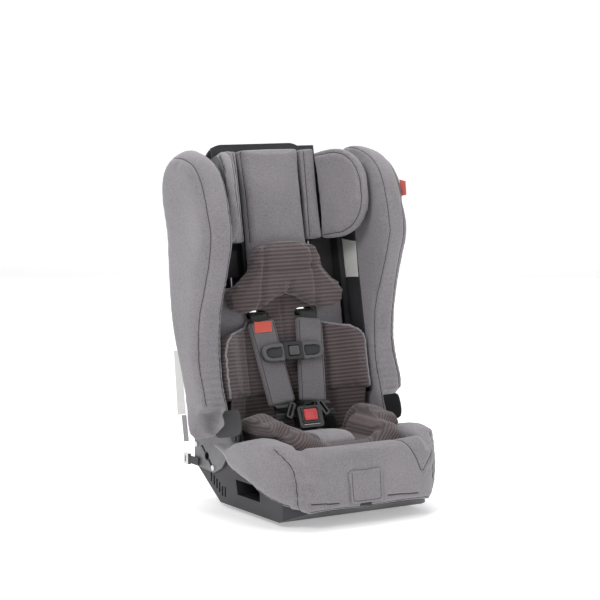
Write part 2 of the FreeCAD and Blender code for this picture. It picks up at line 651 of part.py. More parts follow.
# ---- headrest, drawn upright ----
def ear_plate(long, z0, z1, t0, t1, start=0.0):
    """A rounded plate that leaves the headrest at its root and splays outwards."""
    plate = box(t0, t1, -long, -start, z0, z1)
    plate = round_edges(plate, (z1 - z0) * 0.42, X_AXIS, lambda b: b.YMax < -long + 1)
    plate.rotate(ORIGIN, V(0, 0, 1), EAR_SPLAY)
    plate.translate(V(EAR_ROOT[0], EAR_ROOT[1], 0))
    return plate


def ear_pad():
    return ear_plate(EAR_LONG, EAR_Z0, EAR_Z1, 0, EAR_T)


def headrest_shell():
    middle = block(121, HEAD_BACK_Y, HEAD_BACK_Y + 4, EAR_Z0 + 4, HEAD_Z1 + 6)
    middle = middle.fuse(block(HEAD_HALF, HEAD_BACK_Y, HEAD_BACK_Y + 4, HEAD_Z0, EAR_Z0 + 5))
    ear = ear_plate(EAR_LONG - 8, EAR_Z0 + 8, EAR_Z1 - 8, EAR_T, EAR_T + 3, -18)
    shell = middle.fuse(both(ear))
    boss = box(ROD_X - 9, ROD_X + 9, HEAD_BACK_Y + 3, ROD_Y + 6, ROD_TOP - 60, ROD_TOP + 4)
    shell = shell.fuse(both(boss)).cut(both(post(ROD_X, ROD_Y, ROD_TOP - 70, ROD_TOP, ROD_R)))
    lug = box(33, 38, HEAD_BACK_Y + 3, HEAD_BACK_Y + 22, HEAD_Z1 - 16, HEAD_Z1 + 4)
    shell = shell.fuse(both(lug))
    return shell.cut(rod(-37, 37, HEAD_BACK_Y + 14, HEAD_Z1 - 6, 2.5 + PLAY)).removeSplitter()


def headrest_rods():
    post_right = post(ROD_X, ROD_Y, ROD_BOTTOM, ROD_TOP, ROD_R)
    return Part.makeCompound([post_right, mirrored(post_right)])


def headrest_release():
    lever = block(32.5, HEAD_BACK_Y + 9, HEAD_BACK_Y + 19, HEAD_Z1 - 11, HEAD_Z1 - 1)
    lever = lever.fuse(block(26, HEAD_BACK_Y + 12, HEAD_BACK_Y + 26, HEAD_Z1 - 5, HEAD_Z1 + 1))
    return lever.fuse(rod(-36.5, 36.5, HEAD_BACK_Y + 14, HEAD_Z1 - 6, 2.5)).removeSplitter()


def headrest_pad():
    pad = block(HEAD_HALF, HEAD_Y, HEAD_BACK_Y - GAP, HEAD_Z0, HEAD_Z1)
    return round_edges(pad, 10, V(0, 0, 1), lambda b: b.YMax < HEAD_Y + 1)


def side_gusset():
    """Fabric panel between the headrest's middle and an ear."""
    inner, outer, rear = HEAD_HALF + GAP, EAR_ROOT[0] - GAP, HEAD_BACK_Y - GAP
    plan = [(inner, HEAD_Y + 12), (84, HEAD_Y + 6), (outer - 6, HEAD_Y - 3), (outer, HEAD_Y - 1), (outer, rear), (inner, rear)]
    loop = [V(x, y, EAR_Z0 + 4) for x, y in plan]
    return Part.Face(Part.makePolygon(loop + loop[:1])).extrude(V(0, 0, HEAD_Z1 - 4 - EAR_Z0 - 4))


def head_cushion():
    """Infant head support: three joined lobes in front of the headrest's lower half."""
    half = [(0, 268), (26, 262), (60, 246), (104, 238), (132, 252), (137, 275), (122, 300), (92, 330)]
    half += [(84, 352), (66, 376), (30, 384), (0, 385)]
    outline = half + [(-x, z) for x, z in reversed(half[1:-1])]
    rear = HEAD_Y - GAP
    side = [(2, 385), (rear, 385), (rear, HEAD_Z0 - 2), (52, HEAD_Z0 - 8), (52, 236), (26, 236), (14, 300)]
    return front_prism(outline, 0, 60).common(prism(side, -140, 140))


def seat_nodes():
    export("base_shell", base_shell())
    export_pair("side_plate", side_plate())
    export("cross_tubes", cross_tubes())
    export("frame_bolts", frame_bolts())
    export("fold_pins", fold_pins())
    export("seat_pan", seat_pan())
    export("seat_pad", seat_pad())
    export("front_apron", front_apron())
    export_pair("thigh_bolster", thigh_bolster())
    export("infant_seat_cushion", infant_seat_cushion())
    export("crotch_strap", crotch_strap())
    export("crotch_pad", crotch_pad())
    export("buckle_body", on_buckle(buckle_body()))
    export("buckle_button", on_buckle(buckle_button()))
    export("buckle_tongue_right", on_buckle(buckle_tongue()))
    export("buckle_tongue_left", on_buckle(mirrored(buckle_tongue())))
    export_pair("lap_strap", lap_strap())
    export("adjuster_housing", adjuster_housing())
    export("adjuster_lever", adjuster_lever())
    export("adjuster_strap", adjuster_strap())
    export("adjuster_flap", adjuster_flap())
    export("recline_foot", recline_foot())
    export_pair("anchor_strap", anchor_strap())
    export_pair("anchor_hook", anchor_hook())


def back_nodes():
    export("back_shell", on_back(back_shell()))
    export_pair("back_rail", on_back(back_rail()))
    export("back_top_bar", on_back(top_bar()))
    export_pair("hinge_arm", on_back(hinge_arm()))
    export_pair("side_wing", on_back(side_wing()))
    export("back_pad", on_back(back_pad()))
    export("infant_back_cushion", on_back(infant_back_cushion()))
    export_pair("shoulder_strap", shoulder_strap())
    export_pair("shoulder_pad", shoulder_pad())
    export("splitter_plate", on_back(splitter_plate()))
    export("clip_receiver", on_clip(clip_receiver()))
    export("clip_tongue", on_clip(clip_tongue()))
    export("clip_button", on_clip(clip_button()))


def head_nodes():
    export("headrest_shell", on_back(headrest_shell()))
    export("headrest_rods", on_back(headrest_rods()))
    export("headrest_release", on_back(headrest_release()))
    export("headrest_pad", on_back(headrest_pad()))
    export_pair("headrest_gusset", on_back(side_gusset()))
    export_pair("ear_pad", on_back(ear_pad()))
    export("head_cushion", on_back(head_cushion()))


os.makedirs("parts", exist_ok=True)
seat_nodes()
back_nodes()
head_nodes()
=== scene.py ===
import json
import math

import bpy
import numpy as np
from mathutils import Matrix, Vector
from mathutils.bvhtree import BVHTree


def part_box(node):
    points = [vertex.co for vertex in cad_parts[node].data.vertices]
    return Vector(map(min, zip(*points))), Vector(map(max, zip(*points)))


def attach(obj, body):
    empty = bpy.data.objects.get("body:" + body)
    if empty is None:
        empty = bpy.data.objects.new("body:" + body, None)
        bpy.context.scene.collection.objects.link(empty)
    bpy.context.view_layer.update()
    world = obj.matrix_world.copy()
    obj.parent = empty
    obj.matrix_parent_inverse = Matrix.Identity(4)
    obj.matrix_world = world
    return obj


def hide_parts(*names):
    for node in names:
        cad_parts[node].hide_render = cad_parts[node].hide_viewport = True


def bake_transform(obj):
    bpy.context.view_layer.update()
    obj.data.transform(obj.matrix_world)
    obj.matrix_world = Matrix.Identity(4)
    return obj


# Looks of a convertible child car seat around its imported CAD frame: +X right, -Y front, +Z up.
# Points are worked out in millimetres, and become metres when they go into a mesh.
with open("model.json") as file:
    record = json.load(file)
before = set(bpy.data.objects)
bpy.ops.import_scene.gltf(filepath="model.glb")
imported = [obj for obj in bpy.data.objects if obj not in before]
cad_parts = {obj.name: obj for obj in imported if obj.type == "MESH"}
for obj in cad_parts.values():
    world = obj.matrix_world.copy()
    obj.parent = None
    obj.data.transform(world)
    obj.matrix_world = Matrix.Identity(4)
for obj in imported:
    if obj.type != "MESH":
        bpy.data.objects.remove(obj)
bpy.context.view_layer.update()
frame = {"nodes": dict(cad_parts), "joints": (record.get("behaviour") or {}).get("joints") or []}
JOINTS = {joint["name"]: joint for joint in frame["joints"]}

# ---- driving sizes, in millimetres unless said otherwise ----
MM = 0.001
RECLINE = 11.0  # lean of the backrest, degrees
HINGE = [v / MM for v in JOINTS["back_fold"]["pos_m"]]
HARNESS_TILT, HARNESS_Y, HARNESS_Z = 6.2, 22.0, 55.0
BUCKLE_LEAN, BUCKLE_Y, BUCKLE_Z = 22.0, -95.0, 148.5
RIB = 7.5  # pitch of the knitted ribs
WAVE_SCALE = 2 * math.pi / 20 * 1000  # wave texture scale for a band every millimetre
WEB, WEB_T = 38.0, 1.6
SEAM_CORD_RADIUS = 0.75  # radius of the cord laid in a seam; the near-black default cord is painted shade in the groove
PRESSURE, CLOTH_FRAMES = 4.0, 20  # how hard and how long the padding is filled
CAMERA_AT = (-2.27091, -3.68024, 0.90089)  # metres
CAMERA_RIGHT = (0.84805, -0.52992, 0.0)
CAMERA_UP = (0.06183, 0.09894, 0.99317)
CAMERA_BACK = (-0.52630, -0.84226, 0.11667)
LENS, SENSOR = 129.9, 36.0
WORLD_LIGHT, BACKDROP_GLOW = 0.39, 0.36
KEY, FILL, TOP, BEHIND = 48, 14, 44, 14  # watts

SIDES = (("right", 1), ("left", -1))


# ---- frames of the parts ----
def lean(points, degrees, y0, z0):
    """Leans points back about the X axis and moves them by y0 and z0."""
    p = np.array(points, float)
    a = math.radians(degrees)
    y = y0 + p[..., 1] * math.cos(a) + p[..., 2] * math.sin(a)
    z = z0 - p[..., 1] * math.sin(a) + p[..., 2] * math.cos(a)
    return np.stack([p[..., 0], y, z], -1)


def on_seat(points):
    return np.array(points, float)


def on_back(points):
    """From the upright backrest's own frame."""
    return lean(points, RECLINE, HINGE[1], HINGE[2])


def on_harness(points):
    """From the shoulder pads' frame."""
    return on_back(lean(points, HARNESS_TILT, HARNESS_Y, HARNESS_Z))


def on_buckle(points):
    """From the buckle's frame."""
    return lean(points, BUCKLE_LEAN, BUCKLE_Y, BUCKLE_Z)


def mirror(points, side):
    p = np.array(points, float)
    p[..., 0] *= side
    return p


# ---- camera, floor, light ----
def make_camera():
    data = bpy.data.cameras.new("camera")
    data.lens, data.sensor_width = LENS, SENSOR
    data.clip_end = 60
    camera = bpy.data.objects.new("camera", data)
    turn = Matrix([CAMERA_RIGHT, CAMERA_UP, CAMERA_BACK]).transposed()
    camera.matrix_world = Matrix.Translation(CAMERA_AT) @ turn.to_4x4()
    bpy.context.scene.collection.objects.link(camera)
    bpy.context.scene.camera = camera


def make_floor():
    """A pale floor that curves up into a wall far behind the seat."""
    profile = [(-7.0, 0.0), (3.0, 0.0), (3.7, 0.12), (4.2, 0.5), (4.5, 1.2), (4.6, 5.0)]
    line = smooth_line(profile, 40)
    turn = Matrix.Rotation(math.radians(-32), 4, "Z")
    rows = [[turn @ Vector((x, y, z)) for y, z in line] for x in (-7.0, 7.0)]
    points = [p for row in rows for p in row]
    count = len(line)
    faces = [(i, i + 1, count + i + 1, count + i) for i in range(count - 1)]
    floor = new_mesh("floor", np.array(points) / MM, faces)
    floor.data.materials.append(backdrop_material())


def area_light(name, place, target, size, power):
    data = bpy.data.lights.new(name, "AREA")
    data.shape, data.size, data.energy = "DISK", size, power
    light = bpy.data.objects.new(name, data)
    light.location = place
    light.rotation_euler = (Vector(target) - Vector(place)).to_track_quat("-Z", "Y").to_euler()
    bpy.context.scene.collection.objects.link(light)


def make_light():
    bpy.context.scene.view_settings.view_transform = "Standard"
    world = bpy.data.worlds.new("studio")
    bpy.context.scene.world = world
    world.use_nodes = True
    world.node_tree.nodes["Background"].inputs["Color"].default_value = (0.98, 0.98, 1.0, 1)
    world.node_tree.nodes["Background"].inputs["Strength"].default_value = WORLD_LIGHT
    middle = (0, 0, 0.35)
    area_light("key", (-2.6, -1.6, 2.6), middle, 1.4, KEY)
    area_light("fill", (2.4, -2.4, 1.6), middle, 1.8, FILL)
    area_light("top", (0.2, 0.2, 3.2), middle, 2.0, TOP)
    area_light("behind", (0.8, 2.4, 2.2), middle, 1.6, BEHIND)


# ---- lines and meshes ----
def smooth_line(points, count, closed=False):
    """Evenly spaced points on a smooth line through given ones."""
    p = np.array(points, float)
    if closed:
        p = np.vstack([p[-1:], p, p[:2]])
    else:
        p = np.vstack([2 * p[0] - p[1], p, 2 * p[-1] - p[-2]])
    t = np.linspace(0, 1, 16, endpoint=False)[:, None]
    fine = []
    for a, b, c, d in zip(p, p[1:], p[2:], p[3:]):
        bend = (2 * a - 5 * b + 4 * c - d) * t**2 + (3 * b - a - 3 * c + d) * t**3
        fine.append(0.5 * (2 * b + (c - a) * t + bend))
    fine = np.vstack(fine + [p[-2:-1]])
    run = np.concatenate([[0], np.cumsum(np.linalg.norm(np.diff(fine, axis=0), axis=1))])
    want = np.linspace(0, run[-1], count, endpoint=not closed)
    return np.stack([np.interp(want, run, fine[:, k]) for k in range(p.shape[1])], -1)


def smooth_step(x, low, high):
    t = np.clip((x - low) / (high - low), 0, 1)
    return t * t * (3 - 2 * t)


def new_mesh(name, points, faces):
    """An object from points in millimetres."""
    mesh = bpy.data.meshes.new(name)
    mesh.from_pydata([tuple(p) for p in np.array(points, float) * MM], [], [tuple(f) for f in faces])
    mesh.validate()
    mesh.shade_smooth()
    piece = bpy.data.objects.new(name, mesh)
    bpy.context.scene.collection.objects.link(piece)
    return piece


def ring_mesh(name, rings, ends=True):
    """A closed mesh through rings of points, the same number in each."""
    rings = np.array(rings, float)
    count, size = rings.shape[:2]
    faces = []
    for r in range(count - 1):
        for i in range(size):
            j = (i + 1) % size
            faces.append((r * size + i, r * size + j, (r + 1) * size + j, (r + 1) * size + i))
    if ends:
        faces.append(tuple(range(size - 1, -1, -1)))
        faces.append(tuple(range((count - 1) * size, count * size)))
    return new_mesh(name, rings.reshape(-1, 3), faces)


def get_points(piece):
    points = np.empty(len(piece.data.vertices) * 3)
    piece.data.vertices.foreach_get("co", points)
    return points.reshape(-1, 3) / MM


def set_points(piece, points):
    piece.data.vertices.foreach_set("co", (points * MM).ravel())
    piece.data.update()


def get_normals(piece):
    normals = np.empty(len(piece.data.vertices) * 3)
    piece.data.vertex_normals.foreach_get("vector", normals)
    return normals.reshape(-1, 3)


def apply_modifiers(piece):
    """Leaves the piece as its final mesh, with nothing still to work out."""
    depsgraph = bpy.context.evaluated_depsgraph_get()
    mesh = bpy.data.meshes.new_from_object(piece.evaluated_get(depsgraph))
    piece.modifiers.clear()
    piece.data = mesh
    piece.data.shade_smooth()


def frames_along(line, flat_way):
    """Unit vectors across and out of a line, with across kept close to flat_way."""
    ahead = np.gradient(line, axis=0)
    ahead /= np.linalg.norm(ahead, axis=1)[:, None]
    across = np.broadcast_to(np.array(flat_way, float), line.shape).copy()
    across -= ahead * np.sum(across * ahead, axis=1)[:, None]
    across /= np.linalg.norm(across, axis=1)[:, None]
    return across, np.cross(across, ahead)


def cord_mesh(name, line, radius, sides=8, flat_way=(1, 0.2, 0.1)):
    """A round cord, such as piping or the cord laid in a seam."""
    line = np.array(line, float)
    across, out = frames_along(line, flat_way)
    turn = np.linspace(0, 2 * math.pi, sides, endpoint=False)
    rings = []
    for p, a, o in zip(line, across, out):
        rings.append(p + radius * (np.outer(np.cos(turn), a) + np.outer(np.sin(turn), o)))
    return ring_mesh(name, rings)


def webbing(name, path, width=WEB, flat_way=(1, 0, 0), count=90, place=on_seat, thick=WEB_T):
    """A woven strap: flat, with thicker selvedges and faint cords along it."""
    line = place(smooth_line(path, count))
    across, out = frames_along(line, flat_way)
    half = width / 2
    u = np.linspace(-1, 1, 33)
    cords = 0.12 * np.abs(np.sin(u * 4.5 * math.pi)) + 0.22 * (np.abs(u) > 0.9)
    face = thick / 2 * (1 - np.abs(u) ** 14 * 0.7) + cords
    loop_x = np.concatenate([u, u[::-1]]) * half
    loop_y = np.concatenate([face, -face[::-1]])
    rings = [p + np.outer(loop_x, a) + np.outer(loop_y, o) for p, a, o in zip(line, across, out)]
    return ring_mesh(name, rings)


def plate(name, outline, front, back, edge, place, crown=0.0, count=120):
    """A moulded plate from an (x, z) outline, with rounded edges and a slightly crowned face."""
    line = smooth_line(outline, count, closed=True)
    middle = line.mean(0)
    reach = np.abs(line - middle).max()
    turns = np.linspace(0, math.pi / 2, 6)
    rings = []
    profile = [(edge * 3.0, back), (edge, back)]
    profile += [(edge * (1 - math.sin(a)), back - edge * (1 - math.cos(a))) for a in turns]
    profile += [(edge * (1 - math.cos(a)), front + edge * (1 - math.sin(a))) for a in turns]
    profile += [(edge * 3.0, front - crown * 0.4), (reach * 0.45, front - crown * 0.8)]
    profile += [(reach * 0.8, front - crown)]
    for inset, y in profile:
        scale = 1 - inset / reach
        flat = middle + (line - middle) * max(scale, 0.04)
        rings.append(np.stack([flat[:, 0], np.full(count, y), flat[:, 1]], -1))
    return ring_mesh(name, place(np.array(rings)))


# ---- padded pieces ----
def copy_of(node, name):
    """The CAD solid's own mesh, as a start for a soft piece."""
    piece = bpy.data.objects.new(name, frame["nodes"][node].data.copy())
    piece.data.materials.clear()
    bpy.context.scene.collection.objects.link(piece)
    for key in list(piece.keys()):
        del piece[key]
    return piece


def remesh(piece, voxel):
    step = piece.modifiers.new("voxels", "REMESH")
    step.mode, step.voxel_size = "VOXEL", voxel * MM
    apply_modifiers(piece)


def relax(piece, rounds, factor=0.5):
    step = piece.modifiers.new("relax", "SMOOTH")
    step.iterations, step.factor = rounds, factor
    apply_modifiers(piece)


def subdivide(piece, levels=1):
    step = piece.modifiers.new("subdivide", "SUBSURF")
    step.levels = step.render_levels = levels
    apply_modifiers(piece)


def shrink(piece, distance):
    set_points(piece, get_points(piece) - get_normals(piece) * distance)


def inflate(piece, cap):
    """Fills the piece like a cushion with Cloth, and lets no point move further than cap."""
    start = get_points(piece)
    cloth = piece.modifiers.new("cloth", "CLOTH")
    cloth.settings.use_pressure = True
    cloth.settings.uniform_pressure_force = PRESSURE
    cloth.settings.effector_weights.gravity = 0
    cloth.settings.quality = 4
    cloth.point_cache.frame_start, cloth.point_cache.frame_end = 1, CLOTH_FRAMES
    scene = bpy.context.scene
    for step in range(1, CLOTH_FRAMES + 1):
        scene.frame_set(step)
    apply_modifiers(piece)
    scene.frame_set(1)
    moved = get_points(piece) - start
    length = np.linalg.norm(moved, axis=1)[:, None]
    set_points(piece, start + moved * np.minimum(1, cap / np.maximum(length, 1e-6)))


def soft_from(node, name, voxel=5.0, smooth=6, inset=2.0, cap=8.0, fine=1):
    """A padded piece in the room of its CAD solid: remeshed, softened and filled."""
    return soften(copy_of(node, name), voxel, smooth, inset, cap, fine)


def soften(piece, voxel, smooth, inset, cap, fine):
    remesh(piece, voxel)
    relax(piece, smooth)
    shrink(piece, inset)
    if cap:
        inflate(piece, cap)
        relax(piece, 2)
    if fine:
        subdivide(piece, fine)
    return piece


def nearest_on(points, line):
    """Distance of each point from a line of points, and how far along the line its nearest place is."""
    best, along, run = np.full(len(points), 1e9), np.zeros(len(points)), 0.0
    for a, b in zip(line, line[1:]):
        step = b - a
        length = np.linalg.norm(step)
        t = np.clip(((points - a) @ step) / max(length**2, 1e-9), 0, 1)
        away = np.linalg.norm(points - a - t[:, None] * step, axis=1)
        along = np.where(away < best, run + t * length, along)
        best = np.minimum(best, away)
        run += length
    return best, along


def snapped(piece, line, sink=0.3):
    """A line moved onto the piece's surface."""
    tree = BVHTree.FromObject(piece, bpy.context.evaluated_depsgraph_get())
    found = []
    for p in line:
        spot, normal, _, _ = tree.find_nearest(Vector(p) * MM)
        found.append(np.array(spot) / MM - np.array(normal) * sink)
    return np.array(found)


def groove(piece, line, depth=2.2, width=4.0):
    """Pulls the padding in along a sewn line."""
    points = get_points(piece)
    away, _ = nearest_on(points, line)
    pull = depth * np.exp(-((away / width) ** 2))
    set_points(piece, points - get_normals(piece) * pull[:, None])


def seam(piece, path, name, place, depth=2.2, width=4.0, count=70, radius=SEAM_CORD_RADIUS, finish="thread"):
    """A sewn line: the padding sinks and a cord lies in it: by default a near-black cord, painted shade in
    the groove, otherwise piping or a cord in the fabric's colour.
    """
    line = snapped(piece, place(smooth_line(path, count)))
    groove(piece, line, depth, width)
    line = snapped(piece, line, sink=-0.1 if finish == "thread" else -radius * 0.4)
    thread = cord_mesh(name, line, radius)
    dress(thread, finish, None)
    thread.parent = piece
    return thread


def ribs(piece, depth=0.5):
    """Raises knitted ribs across a piece, level when the backrest is upright."""
    points = get_points(piece)
    wave = np.abs(np.sin(back_height(points) * math.pi / RIB)) - 0.5
    set_points(piece, points + get_normals(piece) * (depth * wave)[:, None])


def back_height(points):
    """Height up the backrest, in its own upright frame."""
    a = math.radians(RECLINE)
    return (points[:, 1] - HINGE[1]) * math.sin(a) + (points[:, 2] - HINGE[2]) * math.cos(a)


# ---- materials ----
class Nodes:
    """Short calls for building one material's nodes."""

    def __init__(self, name, color, rough, metal=0.0):
        self.material = bpy.data.materials.new(name)
        self.material.use_nodes = True
        self.tree = self.material.node_tree
        self.shader = self.tree.nodes["Principled BSDF"]
        self.shader.inputs["Base Color"].default_value = (*color, 1)
        self.shader.inputs["Roughness"].default_value = rough
        self.shader.inputs["Metallic"].default_value = metal

    def add(self, kind, **values):
        node = self.tree.nodes.new(kind)
        for key, value in values.items():
            if hasattr(node, key):
                setattr(node, key, value)
            else:
                node.inputs[key.replace("_", " ").title()].default_value = value
        return node

    def link(self, source, target):
        self.tree.links.new(source, target)

    def place(self, scale=(1, 1, 1), turn=(0, 0, 0), move=(0, 0, 0)):
        spot = self.add("ShaderNodeTexCoord").outputs["Object"]
        mapping = self.add("ShaderNodeMapping")
        mapping.inputs["Scale"].default_value = scale
        mapping.inputs["Location"].default_value = move
        mapping.inputs["Rotation"].default_value = [math.radians(t) for t in turn]
        self.link(spot, mapping.inputs["Vector"])
        return mapping.outputs["Vector"]

    def noise(self, scale, detail=3.0, rough=0.55, where=None):
        node = self.add("ShaderNodeTexNoise", scale=scale, detail=detail, roughness=rough)
        self.link(where or self.place(), node.inputs["Vector"])
        return node.outputs["Fac"]

    def wave(self, scale, where, direction="X", distortion=0.0, detail_scale=1.0):
        node = self.add("ShaderNodeTexWave", bands_direction=direction, scale=scale, distortion=distortion)
        node.inputs["Detail Scale"].default_value = detail_scale
        self.link(where, node.inputs["Vector"])
        return node.outputs["Fac"]

    def math(self, operation, a, b):
        node = self.add("ShaderNodeMath", operation=operation)
        for socket, value in zip(node.inputs, (a, b)):
            if isinstance(value, (int, float)):
                socket.default_value = value
            else:
                self.link(value, socket)
        return node.outputs[0]

    def ramp(self, factor, stops, target):
        """Colours along a factor, into a socket of the shader."""
        node = self.add("ShaderNodeValToRGB")
        band = node.color_ramp
        while len(band.elements) < len(stops):
            band.elements.new(0.5)
        for element, (position, color) in zip(band.elements, stops):
            element.position = position
            element.color = (*color, 1) if len(color) == 3 else (color[0], color[0], color[0], 1)
        self.link(factor, node.inputs["Fac"])
        if target:
            self.link(node.outputs["Color"], self.shader.inputs[target])
        return node.outputs["Color"]

    def bump(self, height, strength, distance):
        node = self.add("ShaderNodeBump")
        node.inputs["Strength"].default_value = strength
        node.inputs["Distance"].default_value = distance
        self.link(height, node.inputs["Height"])
        self.link(node.outputs["Normal"], self.shader.inputs["Normal"])
        return node


def shade(color, factor):
    return tuple(min(1.0, c * factor) for c in color)


def heather(name, color, contrast=0.5, thread=1500.0, bump=0.35):
    """Melange cloth: two crossed sets of threads, with lighter and darker flecks."""
    n = Nodes(name, color, 0.92)
    n.shader.inputs["Sheen Weight"].default_value = 0.35
    n.shader.inputs["Sheen Roughness"].default_value = 0.6
    across = n.noise(1.0, 2.0, 0.6, n.place((900, 900, 240)))
    along = n.noise(1.0, 2.0, 0.6, n.place((260, 260, 1000)))
    flecks = n.math("MAXIMUM", across, along)
    cloud = n.noise(9.0, 2.0)
    mix = n.math("ADD", n.math("MULTIPLY", flecks, 0.8), n.math("MULTIPLY", cloud, 0.2))
    low, high = shade(color, 1 - contrast), shade(color, 1 + contrast * 0.75)
    n.ramp(mix, [(0.34, low), (0.5, color), (0.68, high)], "Base Color")
    weave = n.math("ADD", n.wave(thread / 6.3, n.place(), "X"), n.wave(thread / 6.3, n.place(), "Z"))
    height = n.math("ADD", n.math("MULTIPLY", weave, 0.35), flecks)
    n.bump(height, bump, 0.0006)
    n.ramp(flecks, [(0.3, (0.98,)), (0.7, (0.84,))], "Roughness")
    return n.material


def ribbed_knit(name, color, turn=(0, 0, 0), ribbed=True):
    """Fine knit with soft level ribs; the rib wave also paints shade into the valleys between them and
    lighter rib tops.
    """
    n = Nodes(name, color, 0.95)
    n.shader.inputs["Sheen Weight"].default_value = 0.3
    place = n.place((1, 1, 1), turn, (0, 0, back_height(np.zeros((1, 3)))[0] * MM))
    fine = n.noise(1.0, 2.0, 0.6, n.place((1500, 1500, 700)))
    stitches = n.wave(210.0, place, "X", 2.0)
    cloud = n.noise(14.0, 3.0)
    if ribbed:
        rib = n.wave(WAVE_SCALE / RIB, place, "Z", 0.1)
    else:
        rib = n.wave(70.0, n.place((1, 1, 1), (0, 40, 0)), "Z", 1.2)
    mix = n.math("ADD", n.math("MULTIPLY", fine, 0.45), n.math("MULTIPLY", rib, 0.38))
    mix = n.math("ADD", mix, n.math("MULTIPLY", cloud, 0.17))
    # With ribbed set, the rib wave in this colour ramp is painted shade in the valleys and painted
    # highlight on the rib tops; the fine noise and cloud are the yarn's own tone.
    n.ramp(mix, [(0.2, shade(color, 0.42)), (0.5, color), (0.8, shade(color, 1.6))], "Base Color")
    height = n.math("ADD", n.math("MULTIPLY", rib, 1.0), n.math("MULTIPLY", stitches, 0.25))
    height = n.math("ADD", height, n.math("MULTIPLY", fine, 0.4))
    n.bump(height, 0.55, 0.0008)
    n.ramp(fine, [(0.3, (0.98,)), (0.7, (0.86,))], "Roughness")
    return n.material


def woven_strap(name, color):
    """Tight polyester webbing, ribbed across its length; its weave height also sets the colour, as painted
    shade in the low places and lighter raised threads.
    """
    n = Nodes(name, color, 0.6)
    n.shader.inputs["Sheen Weight"].default_value = 0.2
    weft = n.wave(330.0, n.place(), "Z", 0.6)
    warp = n.wave(260.0, n.place(), "X", 0.4)
    fuzz = n.noise(1200.0)
    height = n.math("ADD", n.math("MULTIPLY", weft, warp), n.math("MULTIPLY", fuzz, 0.5))
    # Colour from the weave height: painted shade in the weave's low places and painted highlight on raised
    # threads; the fibre fuzz adds the strap's own tone.
    n.ramp(height, [(0.2, shade(color, 0.6)), (0.9, shade(color, 1.6))], "Base Color")
    n.bump(height, 0.5, 0.0004)
    n.ramp(fuzz, [(0.3, (0.72,)), (0.7, (0.5,))], "Roughness")
    return n.material


def moulded(name, color, rough=0.42, grain=900.0, bump=0.12, coat=0.0):
    """Moulded plastic with fine spark grain, faint flow marks and rubbed patches."""
    n = Nodes(name, color, rough)
    n.shader.inputs["Coat Weight"].default_value = coat
    pits = n.noise(grain, 2.0, 0.5)
    flow = n.noise(7.0, 3.0)
    n.ramp(flow, [(0.3, shade(color, 0.82)), (0.7, shade(color, 1.22))], "Base Color")
    n.bump(pits, bump, 0.0003)
    spread = n.math("ADD", n.math("MULTIPLY", pits, 0.5), n.math("MULTIPLY", flow, 0.5))
    n.ramp(spread, [(0.3, (rough * 1.25,)), (0.7, (rough * 0.78,))], "Roughness")
    return n.material


def metal(name, color, rough, metallic=1.0, scratch=(40, 900, 40), bump=0.06):
    """Rolled or plated metal with fine drawn lines and uneven sheen."""
    n = Nodes(name, color, rough, metallic)
    lines = n.noise(1.0, 4.0, 0.65, n.place(scratch))
    cloud = n.noise(16.0, 3.0)
    n.ramp(cloud, [(0.3, shade(color, 0.85)), (0.7, shade(color, 1.12))], "Base Color")
    n.ramp(lines, [(0.3, (rough * 0.75,)), (0.7, (min(1.0, rough * 1.35),))], "Roughness")
    n.bump(lines, bump, 0.0002)
    return n.material


def backdrop_material():
    n = Nodes("backdrop", (0.93, 0.93, 0.93), 0.9)
    n.ramp(n.noise(3.0), [(0.3, (0.92, 0.92, 0.925)), (0.7, (0.94, 0.94, 0.94))], "Base Color")
    n.shader.inputs["Specular IOR Level"].default_value = 0.1
    n.shader.inputs["Emission Color"].default_value = (1, 1, 1, 1)
    n.shader.inputs["Emission Strength"].default_value = BACKDROP_GLOW
    return n.material


